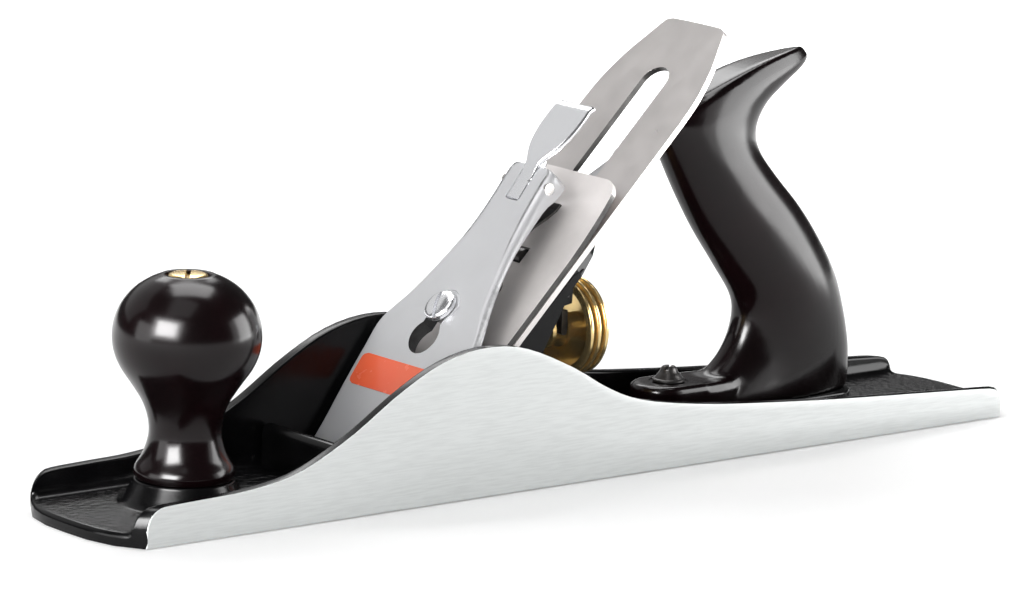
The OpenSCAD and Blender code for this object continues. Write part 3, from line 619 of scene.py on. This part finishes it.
class PLANE_OT_casting(bpy.types.Operator):
    """Builds the casting: trough, mouth, knob boss, rib and seats"""
    bl_idname = "plane.casting"
    bl_label = "Casting"

    def execute(self, context):
        trough = loft([casting_section(u) for u in stations()])
        throat = 1.8
        front = MOUTH_X - CUTTER_T * math.sqrt(2) - throat
        mouth = across([(front, -1), (front, 2.2), (front - 2.4, 4.5), (front - 2.4, BORED_TO), (-42.5, BORED_TO),
                        (MOUTH_X + 0.9, -0.6), (MOUTH_X + 0.9, -1)], 27)
        trough = combined(trough, mouth)
        stud = moved(drum(3.6, 2, BORED_TO), KNOB_X)
        cone = [tuple(p) for p in spline([(22, 4.25), (20.2, 4.9), (19, 6.4), (17.4, 9.2), (16.3, 11.2)], 4)]
        boss = turned([(0, 3.6), (22, 3.6)] + cone + arc(15.5, 11.3, 0.7, 10, 90, 4) + [(0, KNOB_Z)], 96)
        boss = combined(moved(boss, KNOB_X), stud)
        rib = soften(slab([(y, x) for x, y in track(-23.8, 23.8, 2.8)], 3.4, 18.7), 2.6, 6, above(18))
        seat = soften(slab(track(TOE_SCREW_X, 121, 11.6, 20), 3.4, SEAT_Z), 0.8, 3, above(10))
        front_pad = across([(-68.6, 3.6), (-65.4, 8), (-57, 8), (-57, 3.6)], 23)
        rear_pad = soften(across([(-50, 3.4), (-50, 14), (-16.5, 14), (-16.5, 3.4)], 21), 0.6, 2)
        frog_bores = [moved(drum(3.02, 2.5, BORED_TO), -33, y) for y in (-13, 13)]
        for bore in frog_bores + [lying(drum(2.55, -29, -9), "Y", 0, 9.2)]:
            rear_pad = combined(rear_pad, bore)
        whole = joined(trough, boss, moved(rib, RIB_X), seat, front_pad, rear_pad)
        dress(whole, 1, lambda mid, n: abs(n.y) > 0.4 and abs(mid.y) > HALF_W - 0.3 or n.z < -0.9 and mid.z < 0.2)
        dress(whole, 2, lambda mid, n: n.z > 0.95 and abs(mid.z - SOLE) < 0.3)
        place("casting", whole, [black_paint(), ground_iron(), pebbled_paint()], "casting", ["body"])
        return {"FINISHED"}


# Knob

NUT_D = 13


def slotted_nut(d, slot=1.6):
    """Domed brass nut with a screwdriver slot, standing on z = 0."""
    r = d / 2
    head = turned([(0, 0), (r, 0), (r, 2.6)] + arc(r - 1.6, 2.6, 1.6, 10, 70, 5) + [(r - 3, 4.35), (0, 4.5)])
    cut = soften(slab(box_outline(-d, d, slot / 2), 2.6, 8), 0.1, 1)
    return combined(head, cut)


class PLANE_OT_knob(bpy.types.Operator):
    """Builds the turned front knob and its brass nut"""
    bl_idname = "plane.knob"
    bl_label = "Knob"

    def execute(self, context):
        r, h = sizes().knob_radius / MM, sizes().knob_height / MM
        shares = spline([
            (0.655, 0.004), (0.685, 0.03), (0.665, 0.06), (0.58, 0.11), (0.52, 0.165), (0.488, 0.225),
            (0.505, 0.295), (0.58, 0.375), (0.725, 0.46), (0.885, 0.545), (0.968, 0.615), (1, 0.69),
            (0.975, 0.772), (0.885, 0.852), (0.725, 0.922), (0.54, 0.969), (0.36, 0.998)], 6)
        bore, well, well_floor = 3.6, 6.9, h - 4
        profile = [(bore, 0), (0.62 * r, 0)] + [(p[0] * r, p[1] * h) for p in shares]
        profile += [(well + 0.5, h), (well, h - 0.4), (well, well_floor), (bore, well_floor), (bore, 0)]
        place("knob", moved(turned(profile, 120), KNOB_X, 0, KNOB_Z), [polished_plastic()], "casting",
              ["front_knob"], smooth=50)
        nut = slotted_nut(NUT_D)
        nut.transform(Matrix.Rotation(math.radians(51), 4, "Z"))
        moved(nut, KNOB_X, 0, KNOB_Z + well_floor)
        place("knob_nut_brass", nut, [polished_brass()], "casting", ["knob_nut"])
        return {"FINISHED"}


# Rear handle, from the foot up: front x and z, back x and z, half the thickness at the front and at the back
# as shares of the grip's thickness, and the crown between them
GRIP = [
    (60, 0, 133, 0, 0.46, 0.46, 0), (64, 4, 133.5, 3, 0.46, 0.46, 0), (72, 10, 133.3, 9, 0.44, 0.47, 0),
    (79, 16, 132.5, 16, 0.44, 0.48, 0), (84, 25, 129.6, 27, 0.46, 0.50, 0), (84, 34, 125, 40, 0.48, 0.50, 0),
    (75.6, 46, 117.8, 52, 0.48, 0.50, 0), (65.8, 59, 108.6, 64, 0.47, 0.49, 0),
    (58.2, 71, 97.2, 76, 0.46, 0.46, 0), (52.6, 81, 90, 85, 0.46, 0.43, 0.2),
    (48.3, 89, 88.7, 92.5, 0.46, 0.39, 0.6), (45.6, 94, 93, 100, 0.46, 0.36, 1.1),
    (45.2, 97, 101.2, 106, 0.45, 0.31, 1.7), (46.6, 99, 108.4, 110.5, 0.44, 0.26, 2.3),
    (49, 100, 111.5, 114, 0.42, 0.22, 2.8), (52.5, 100.7, 109.5, 117, 0.38, 0.18, 3)]


def grip_ring(level, thick, inset=0.0, lift=0.0, sides=56):
    """Section of the handle at one level; the last ones are drawn in and lifted to round the top."""
    fx, fz, bx, bz, front, back, crown = level
    ring = []
    for k in range(sides):
        a = math.tau * k / sides
        u = math.cos(a) * (1 - inset * 0.35)
        v = math.copysign(abs(math.sin(a)) ** 0.94, math.sin(a)) * (1 - inset)
        s = (1 + u) / 2
        ring.append((fx + (bx - fx) * s, v * thick * (front + (back - front) * s),
                     SEAT_Z + fz + (bz - fz) * s + crown * math.sin(math.pi * s) + lift))
    return ring


class PLANE_OT_rear_handle(bpy.types.Operator):
    """Builds the rear handle with its nut and toe screw"""
    bl_idname = "plane.rear_handle"
    bl_label = "Rear handle"

    def execute(self, context):
        thick = sizes().grip_thickness / MM
        levels = spline(GRIP, 5)
        rings = [grip_ring(l, thick) for l in levels]
        rings += [grip_ring(levels[-1], thick, inset, lift)
                  for inset, lift in ((0.02, 0.25), (0.07, 0.5), (0.16, 0.68), (0.3, 0.8))]
        grip = loft(rings)
        lobe = spline([(56, 10.9), (66, 10.9), (73, 10.3), (80, 8.8), (86, 7), (92, 4)], 3)
        outline = arc(53.5, 0, 10.9, 180, 95, 12) + [tuple(p) for p in lobe]
        foot = soften(slab(mirrored(outline[:-1])[::-1], SEAT_Z, 20.5), 2.2, 6, above(20))
        whole = melted(joined(grip, foot), 0.6)
        turns_all, turns_joint = 3, 31
        for turn in range(turns_all + turns_joint):
            near = [v for v in whole.verts if turn < turns_all or 64 < v.co.x < 98 and 17.5 < v.co.z < 34]
            bmesh.ops.smooth_vert(whole, verts=near, factor=0.5, use_axis_x=True, use_axis_y=True, use_axis_z=True)
        well_floor = 94
        rod, well = drum(3.05, -20, 140, 32), drum(6.8, well_floor, 134, 48)
        for tool in (rod, well):
            tool.transform(ROD)
        cutters = joined(combined(rod, well, "UNION"), moved(drum(6.6, 20.2, BORED_TO), TOE_SCREW_X))
        whole = combined(whole, cutters)
        place("rear_handle", whole, [polished_plastic()], "casting", ["tote"], smooth=38)
        nut = slotted_nut(NUT_D)
        nut.transform(ROD @ Matrix.Translation((0, 0, well_floor)))
        place("handle_nut_brass", nut, [polished_brass()], "casting", ["tote_nut"])
        head = turned([(0, 20.5), (5.2, 20.5), (5.4, 20.7), (5.4, 21.2), (5.1, 21.5), (4.7, 21.6), (3.9, 22.6),
                       (3.5, 23.2), (3.2, 23.4), (2.7, 24.6), (2.4, 25.2), (2.0, 25.5), (0, 25.5)])
        slot = slab(box_outline(-8, 8, 0.6), 24.6, 28)
        slot.transform(Matrix.Rotation(0.6, 4, "Z"))
        screw = joined(combined(head, slot), drum(2.6, 2.2, 20.6, 32))
        place("handle_toe_screw", moved(screw, TOE_SCREW_X), [blackened_steel_and_shade()], "casting", ["tote_toe_screw"])
        return {"FINISHED"}


# Cutter and cap iron

class PLANE_OT_cutter(bpy.types.Operator):
    """Builds the cutter and the cap iron"""
    bl_idname = "plane.cutter"
    bl_label = "Cutter"

    def execute(self, context):
        half = sizes().cutter_width / MM / 2
        corner = spline([(158, half), (168, half - 0.8), (179, half - 3.6), (188, half - 7.4),
                         (193.6, half - 9.8), (194.9, half - 10.8)], 5)
        outline = mirrored([(-1.65, half), (80, half)] + [tuple(p) for p in corner]
                           + [(195.7, half - 13), (195.85, 4)])
        blade = slab(outline, 0, CUTTER_T)
        bevel_back = 2.27
        for v in blade.verts:
            if v.co.z < 1 and v.co.x < 1:
                v.co.x = bevel_back
        blade = combined(blade, slab(track(44, 170.5, 6, 24), -1, 3))
        blade = combined(blade, moved(drum(9.5, -1, 3), 44))
        # The walls of the slot and its round hole take the near-black steel: painted shade in the slot.
        dress(blade, 1, lambda mid, n: abs(n.z) < 0.3 and abs(mid.y) < 10 and 30 < mid.x < 180)
        place("cutter_blade", blade, [brushed_cutter(), blackened_steel_and_shade()], "cutter", ["plane_iron"],
              on_bed=True, round_edges=0.18)

        top = reader([(-0.2, 2.5), (2.5, 4.2), (7, 5.6), (12, 5.5), (19, 4.7), (28, 4.02), (60, 4.02), (92, 4.02),
                      (104, 4.38), (116, 5.44), (128, 7.22)], 6)
        under = reader([(-0.2, 2.02), (3, 2.5), (7, 3.4), (12, 3.5), (19, 2.72), (28, 2.02), (60, 2.02), (92, 2.02),
                        (104, 2.38), (116, 3.44), (128, 5.22)], 6)
        rings, corner_r = [], 6
        round_from = 128 - corner_r
        where = [-0.2, 0.4, 1.2, 2.5, 4, 5.5, 7, 8.5, 10, 12, 14.5, 17, 20, 24, 28, 36, 60, 80, 92, 97, 101, 105,
                 109, 113, 117, 120, 122, 123.6, 125, 126.2, 127.1, 127.7, 128]
        for s in where:
            w = half - 0.4
            if s > round_from:
                w -= corner_r - math.sqrt(max(0.0, corner_r ** 2 - (s - round_from) ** 2))
            cols = [w, w * 0.5, 0, -w * 0.5, -w]
            rings.append([(s, y, top(s)) for y in cols] + [(s, y, under(s)) for y in reversed(cols)])
        cap = loft(rings)
        cap = combined(cap, slab(track(60, 64, 4.8), -1, 12))
        cap = combined(cap, slab(box_outline(91.9, 98.1, 3.7), -1, 12))
        cap = combined(cap, moved(drum(4.45, -1, 12), 80))
        # The long sides take the near-black steel: painted shade along the gap beside the cutter.
        dress(cap, 1, lambda mid, n: abs(n.y) > 0.7 and abs(mid.y) > half - 1 and mid.x < 124)
        place("cap_iron_plate", cap, [satin_cap_iron(), blackened_steel_and_shade()], "cutter", ["cap_iron"],
              on_bed=True, round_edges=0.2)
        return {"FINISHED"}


# Lever cap

FOOT_H, SHOULDER = 5.75, 14.85
lever_top = reader([(6, FOOT_H + 0.9), (17, FOOT_H + 2.6), (30, FOOT_H + 5.1), (44, FOOT_H + 7.3), (57, SHOULDER),
                    (88, SHOULDER + 2.3), (112, SHOULDER + 5.2), (119, SHOULDER + 5.6)])
lever_under = reader([(6, FOOT_H), (14, FOOT_H + 0.05), (26, 7.9), (44, 9.4), (57, 9.85), (82, 12.2), (100, 12.25),
                      (119, 12.4)])
lever_half = reader([(6, 24.6), (25, 24.75), (44, 24.9), (49.5, 25), (54, 24.6), (59, 22.8), (67, 19.4),
                     (76, 16.4), (88, 13.4), (98, 11.9), (106, 11.3), (112, 11.2), (119, 11.2)])


def flank_lift(s):
    """How far the flank of the lever cap ends above its underside."""
    return 1.5 * ease((s - 46) / 10) * (1 - ease((s - 107) / 7))


def lever_section(s):
    """Section of the lever cap with rounded upper arrises."""
    w, top, low = lever_half(s), lever_top(s), lever_under(s)
    edge = low + flank_lift(s)
    corner_r, round_from = 2.5, 116.5
    if s > round_from:
        w -= corner_r - math.sqrt(max(0.0, corner_r ** 2 - (s - round_from) ** 2))
    r = min(1.0 + 1.6 * ease((s - 52) / 18), (top - low) * 0.45)
    side = arc(w - r, top - r, r, 90, 0, 7) + [(w, (top - r + edge) / 2), (w - 0.2, edge + 0.2), (w - 0.5, edge)]
    half = [(0, top), (w * 0.3, top), (w * 0.62, top), (w * 0.85, top)] + side + [(w * 0.7, low), (0, low)]
    return [(s, y, z) for y, z in both_sides(half)]


def inside_lever_cap(mid, n):
    """Picks the underside and the walls of the keyhole, which get painted shade."""
    underside = mid.z < lever_under(mid.x) + flank_lift(mid.x) + 0.12
    return underside or abs(n.z) < 0.9 and 45 < mid.x < 71 and abs(mid.y) < 6.4 and mid.z < SHOULDER + 0.3


class PLANE_OT_lever_cap(bpy.types.Operator):
    """Builds the lever cap, its screw and the enamel band"""
    bl_idname = "plane.lever_cap"
    bl_label = "Lever cap"

    def execute(self, context):
        where = [6, 6.3, 7, 9, 12, 16, 20, 25, 30, 35, 40, 44, 47, 49.5, 51.5, 53, 54.5, 56, 58, 60, 63, 67, 71, 76,
                 82, 88, 93, 98, 102, 106, 109, 112, 115, 116.5, 117.5, 118.2, 118.7, 118.95]
        cap = loft([lever_section(s) for s in where])
        over = 40
        cap = combined(cap, moved(drum(6.3, 0, over), KEYHOLE_S))
        cap = combined(cap, slab(track(KEYHOLE_S, SCREW_S, 4.2), 0, over))
        cap = combined(cap, soften(slab(track(KEYHOLE_S + 5, SCREW_S, 7.1, 24), SHOULDER + 0.4, over), 0.5, 2,
                                   lambda e: all(v.co.z < 20 for v in e.verts)))
        cap = combined(cap, soften(slab(box_outline(105.5, 126, 3.6), 0, over), 1.2, 3,
                                   lambda e: all(v.co.x < 106 for v in e.verts)))
        cap = combined(cap, lying(drum(2.02, -30, 30, 32), "X", CAM_S, CAM_H))
        cap = combined(cap, moved(drum(1.52, 0, SHOULDER, 24), RIVET_S))
        # The underside and the keyhole walls take the near-black finish: painted shade under the cap and in the
        # hole.
        dress(cap, 2, inside_lever_cap)
        dress(cap, 1, lambda mid, n: abs(n.y) > 0.6 and 47 < mid.x < 78 and abs(mid.y) > 8 and mid.z > 12.2)
        place("lever_cap_plate", cap, [satin_plating(), cast_flank(), unplated_underside_shade()], "lever_cap", ["lever_cap"],
              on_bed=True, round_edges=0.22)

        start, length, r = 30.2, sizes().band_length / MM, 2.2
        rings = []
        for k in range(17):
            s = start + length * k / 16
            near = min(s - start, start + length - s)
            half = 22.6 - (r - math.sqrt(max(0.0, r * r - (r - near) ** 2)) if near < r else 0)
            z = lever_top(s)
            rings.append([(s, y, z + 0.25) for y in (half - 0.15, half / 2, 0, -half / 2, 0.15 - half)]
                         + [(s, -half, z + 0.1), (s, -half, z - 0.1), (s, half, z - 0.1), (s, half, z + 0.1)])
        band = loft(rings)
        place("enamel_band_panel", band, [band_enamel()], "lever_cap", ["enamel_band"], on_bed=True)

        under, head_r = SHOULDER + 0.5, 5.7
        head = turned([(0, under), (head_r - 0.4, under), (head_r, under + 0.4), (head_r, under + 1.5)]
                      + [(head_r * math.cos(t), under + 1.5 + 1.7 * math.sin(t)) for t in
                         (0.15, 0.35, 0.6, 0.85, 1.1, 1.35)] + [(0, under + 3.2)])
        slot = slab(box_outline(-8, 8, 0.75), under + 1.7, under + 6)
        slot.transform(Matrix.Rotation(math.radians(25), 4, "Z"))
        screw = moved(joined(combined(head, slot), drum(3.9, -15.8, under + 0.1)), SCREW_S)
        place("lever_cap_bolt", screw, [bright_plating()], "frog", ["lever_cap_screw"],
              on_bed=True)
        return {"FINISHED"}


class PLANE_OT_cam_lever(bpy.types.Operator):
    """Builds the cam lever with its thumb plate"""
    bl_idname = "plane.cam_lever"
    bl_label = "Cam lever"

    def execute(self, context):
        flat, thick, fold, fold_from = SHOULDER + 7.3, 0.9, math.radians(32), 28.2
        half = reader([(-7.3, 3.3), (4, 3.3), (7, 3.9), (9.5, 5.4), (13, 7.2), (18.5, 8.65), (25, 9), (30, 8.6),
                       (34, 8.1)])
        where = [-7.3, -7.1, -6, -4, -2, 0, 1, 2, 3, 4, 5, 6, 7, 8] + [9 + k for k in range(23)] + [31.6]
        rings = []
        for s in where:
            rise = ease((s - 0.5) / 8.5)
            bend = fold * ease((s - fold_from) / 3.2)
            drop = 0.0
            if s >= fold_from:
                drop = math.tan(fold) * max(0.0, s - 29.6) + 0.15 * ease((s - fold_from) / 2)
            w = half(s) - (0.6 if s > 31.5 else 0)
            t = thick * (0.55 if s in (where[0], where[-1]) else 1)
            n = Vector((math.sin(bend), 0, math.cos(bend)))
            mid = Vector((s, 0, lever_top(CAM_S + s) * (1 - rise) + flat * rise - thick - drop))
            path = [(0, t), (w * 0.5, t), (w - 0.5, t), (w - 0.12, t * 0.6), (w, 0), (w - 0.12, -t * 0.6),
                    (w - 0.5, -t), (w * 0.5, -t), (0, -t)]
            rings.append([mid + n * z + Vector((0, y, 0)) for y, z in both_sides(path)])
        plate = loft(rings)
        stem = soften(across([(-7, 16.9), (-7, 18.4), (0, 19.2), (3, 19.6), (6.2, 20.6), (9.5, 20.4), (8, 18.4),
                              (4.5, 16.2), (0, 14), (-4, 15.5)], 3.25), 0.2, 2)
        rounds = [lying(soften(drum(r, -3.3, 3.3, 48), 0.4, 2), "X", 0, z) for r, z in ((2.6, CAM_H), (5.2, 13.15))]
        lever = moved(joined(plate, stem, *rounds), CAM_S)
        place("cam_lever_plate", lever, [bright_plating()], "cam", ["cam_lever"],
              on_bed=True)
        return {"FINISHED"}


# Depth wheel

class PLANE_OT_depth_wheel(bpy.types.Operator):
    """Builds the cupped brass depth wheel"""
    bl_idname = "plane.depth_wheel"
    bl_label = "Depth wheel"

    def execute(self, context):
        r = sizes().wheel_radius / MM
        w, land, inner, groove = WHEEL_W, 7.7 / 5, r - 2.9, r - 1.9
        rim = [(inner, w - 1.7), (inner, 0.3), (r - 2.6, 0), (r - 0.5, 0)]
        for start in (0.0, 2 * land, 4 * land):
            rim += arc(r - 0.55, start + 0.55, 0.55, -80, 0, 3) + arc(r - 0.55, start + land - 0.55, 0.55, 0, 80, 3)
            if start < 4 * land:
                rim += [(groove, start + land + 0.15), (groove, start + 2 * land - 0.15)]
        rim += [(r - 1.4, w), (9, w), (8.4, w - 0.35), (6.8, w - 0.35), (6.2, w), (4.35, w), (4.35, w - 1.7)]
        wheel = turned([(4.35, w - 1.7)] + rim, 120)
        # The bottoms of two grooves take the darkened brass: painted shade in the grooves.
        dress(wheel, 1, lambda mid, n: r - 2.2 < math.hypot(mid.x, mid.y) < r - 1.2
              and any(k * land < mid.z < (k + 1) * land for k in (1, 3)))
        lying(wheel, "Y", WHEEL_X, WHEEL_Z)
        place("depth_wheel_brass", wheel, [polished_brass(), groove_shade_brass()], "wheel", ["depth_wheel"])
        return {"FINISHED"}


# Finishes of the CAD nodes that stay

class PLANE_OT_small_parts(bpy.types.Operator):
    """Gives the small parts that stay as they are their finishes"""
    bl_idname = "plane.small_parts"
    bl_label = "Small parts"

    def execute(self, context):
        finishes = {
            black_paint: ["frog"],
            # The yoke and the lever cap spring are made near black: painted shade in the gap under the lever cap.
            blackened_steel_and_shade: ["yoke", "lever_cap_spring"],
            polished_brass: ["depth_wheel_hub"],
            screw_steel: ["knob_stud", "tote_rod", "frog_screws", "frog_washers", "frog_adjusting_screw",
                          "frog_clip", "frog_clip_screw", "wheel_stud", "yoke_pin", "lateral_rivet",
                          "cap_iron_screw", "spring_rivet", "cam_pin"],
            satin_plating: ["lateral_lever", "lateral_roller"],
        }
        for make, nodes in finishes.items():
            for node in nodes:
                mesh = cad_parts[node].data
                mesh.materials.clear()
                mesh.materials.append(make())
        return {"FINISHED"}


# Stage

def soft_box(name, where, width, height, brightness, lights="all", aim=(0, 0, 0.04)):
    """A soft box turned to a point; brightness 1 shows as white in a mirror.

    One that lights only "gloss" is a highlight, and one that lights only "body" has none."""
    light = bpy.data.lights.new(name, "AREA")
    light.shape, light.size, light.size_y = "RECTANGLE", width, height
    light.energy = brightness * math.pi * width * height
    obj = bpy.data.objects.new(name, light)
    bpy.context.scene.collection.objects.link(obj)
    obj.location = where
    obj.rotation_euler = (Vector(aim) - Vector(where)).to_track_quat("-Z", "Y").to_euler()
    obj.visible_camera = False
    obj.visible_diffuse, obj.visible_glossy = lights != "gloss", lights != "body"


def floor_finish():
    """Matt floor that takes the shadows, and glows white for the camera further out."""
    mat = bpy.data.materials.new("Studio floor")
    mat.use_nodes = True
    tree = mat.node_tree
    link = tree.links.new
    shader = tree.nodes["Principled BSDF"]
    shader.inputs["Base Color"].default_value = (*colours().floor, 1)
    shader.inputs["Roughness"].default_value = 0.9
    shader.inputs["Specular IOR Level"].default_value = 0.0
    path = tree.nodes.new("ShaderNodeLightPath")
    seen = path.outputs["Is Camera Ray"]
    for other in ("Is Glossy Ray", "Is Transmission Ray"):
        either = tree.nodes.new("ShaderNodeMath")
        either.operation = "MAXIMUM"
        link(seen, either.inputs[0])
        link(path.outputs[other], either.inputs[1])
        seen = either.outputs[0]
    where, away = tree.nodes.new("ShaderNodeTexCoord"), tree.nodes.new("ShaderNodeVectorMath")
    away.operation = "LENGTH"
    fade, share = tree.nodes.new("ShaderNodeMapRange"), tree.nodes.new("ShaderNodeMath")
    fade.inputs["From Min"].default_value, fade.inputs["From Max"].default_value = 0.1, 0.6
    fade.inputs["To Min"].default_value, fade.inputs["To Max"].default_value = 0.14, 0.8
    share.operation = "MULTIPLY"
    glow, total = tree.nodes.new("ShaderNodeEmission"), tree.nodes.new("ShaderNodeAddShader")
    link(where.outputs["Object"], away.inputs[0])
    link(away.outputs["Value"], fade.inputs["Value"])
    link(seen, share.inputs[0])
    link(fade.outputs["Result"], share.inputs[1])
    link(share.outputs[0], glow.inputs["Strength"])
    link(shader.outputs[0], total.inputs[0])
    link(glow.outputs[0], total.inputs[1])
    link(total.outputs[0], tree.nodes["Material Output"].inputs["Surface"])
    return mat


class PLANE_OT_stage(bpy.types.Operator):
    """Builds the floor, the soft light and the camera"""
    bl_idname = "plane.stage"
    bl_label = "Stage"

    def execute(self, context):
        scene = context.scene
        bm = bmesh.new()
        bmesh.ops.create_grid(bm, x_segments=1, y_segments=1, size=6)
        bmesh.ops.translate(bm, verts=bm.verts, vec=(0, 0, -0.0003))
        floor = as_object(bm, "studio_floor")
        floor.data.materials.append(floor_finish())

        world = bpy.data.worlds.new("Studio")
        scene.world = world
        world.use_nodes = True
        world.node_tree.nodes["Background"].inputs["Color"].default_value = (0.07, 0.07, 0.07, 1)

        soft_box("Far box", (0.0, 1.25, 0.88), 2.6, 1.1, 0.62)
        soft_box("Back light", (0.1, 1.05, 1.6), 2.0, 0.6, 3.2, "body")
        soft_box("Heel light", (1.5, 0.4, 0.52), 0.8, 0.5, 17.0, "body")
        soft_box("Overhead", (0.0, 0.1, 1.8), 2.4, 2.0, 0.48, "body")
        soft_box("Front fill", (-1.2, -2.0, 0.45), 1.6, 0.6, 7.3, "body")
        soft_box("Toe light", (-1.3, 0.15, 0.95), 0.8, 0.5, 5.0, "body")
        soft_box("Left fill", (-1.5, -0.5, 0.6), 1.0, 0.7, 4.5, "body")
        soft_box("Top box", (0.25, 0.35, 1.5), 1.0, 0.8, 8.0, "gloss")
        soft_box("High box", (-0.6, -0.35, 1.5), 0.9, 0.9, 1.3, "gloss")
        soft_box("Left box", (-1.25, -0.40, 0.58), 0.74, 0.56, 42.0, "gloss")
        soft_box("Left halo", (-1.27, -0.41, 0.59), 1.1, 0.9, 7.0, "gloss")
        soft_box("Left back box", (-1.35, 0.36, 0.3), 0.7, 0.6, 4.0, "gloss")
        soft_box("Right box", (0.41, -0.26, 0.18), 0.30, 0.34, 8.0, "gloss", (0.1, 0.0, 0.18))
        soft_box("Right halo", (0.40, -0.30, 0.18), 0.48, 0.34, 2.0, "gloss", (0.1, 0.0, 0.18))
        soft_box("Back right box", (0.61, 1.06, 1.05), 0.9, 0.5, 5.0, "gloss")

        camera = bpy.data.cameras.new("Camera")
        camera.sensor_width, camera.lens = 36.0, 228.516
        camera.clip_start, camera.clip_end = 0.05, 30
        eye = bpy.data.objects.new("Camera", camera)
        scene.collection.objects.link(eye)
        eye.location = (-1.304984, -1.604502, 0.478605)
        eye.rotation_euler = [math.radians(a) for a in (78.34233, -1.63580, -38.53797)]
        scene.camera = eye
        scene.view_settings.view_transform = "Standard"
        return {"FINISHED"}


OPERATORS = (PLANE_OT_casting, PLANE_OT_knob, PLANE_OT_rear_handle, PLANE_OT_cutter, PLANE_OT_lever_cap,
             PLANE_OT_cam_lever, PLANE_OT_depth_wheel, PLANE_OT_small_parts, PLANE_OT_stage)


class PLANE_PT_sidebar(bpy.types.Panel):
    """Lists the pieces of the bench plane"""
    bl_idname = "PLANE_PT_sidebar"
    bl_label = "Bench plane"
    bl_space_type = "VIEW_3D"
    bl_region_type = "UI"
    bl_category = "Bench plane"

    def draw(self, context):
        for group in (sizes(), colours()):
            for name in group.__annotations__:
                self.layout.prop(group, name)
        for op in OPERATORS:
            self.layout.operator(op.bl_idname)


CLASSES = (PlaneSizes, PlaneColours) + OPERATORS + (PLANE_PT_sidebar,)


def register():
    for cls in CLASSES:
        bpy.utils.register_class(cls)
    bpy.types.Scene.plane_sizes = PointerProperty(type=PlaneSizes)
    bpy.types.Scene.plane_colours = PointerProperty(type=PlaneColours)


def unregister():
    del bpy.types.Scene.plane_sizes
    del bpy.types.Scene.plane_colours
    for cls in reversed(CLASSES):
        bpy.utils.unregister_class(cls)


def main():
    register()
    for piece in (bpy.ops.plane.casting, bpy.ops.plane.knob, bpy.ops.plane.rear_handle, bpy.ops.plane.cutter,
                  bpy.ops.plane.lever_cap, bpy.ops.plane.cam_lever, bpy.ops.plane.depth_wheel,
                  bpy.ops.plane.small_parts, bpy.ops.plane.stage):
        piece()
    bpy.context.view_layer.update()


if __name__ == "__main__":
    main()
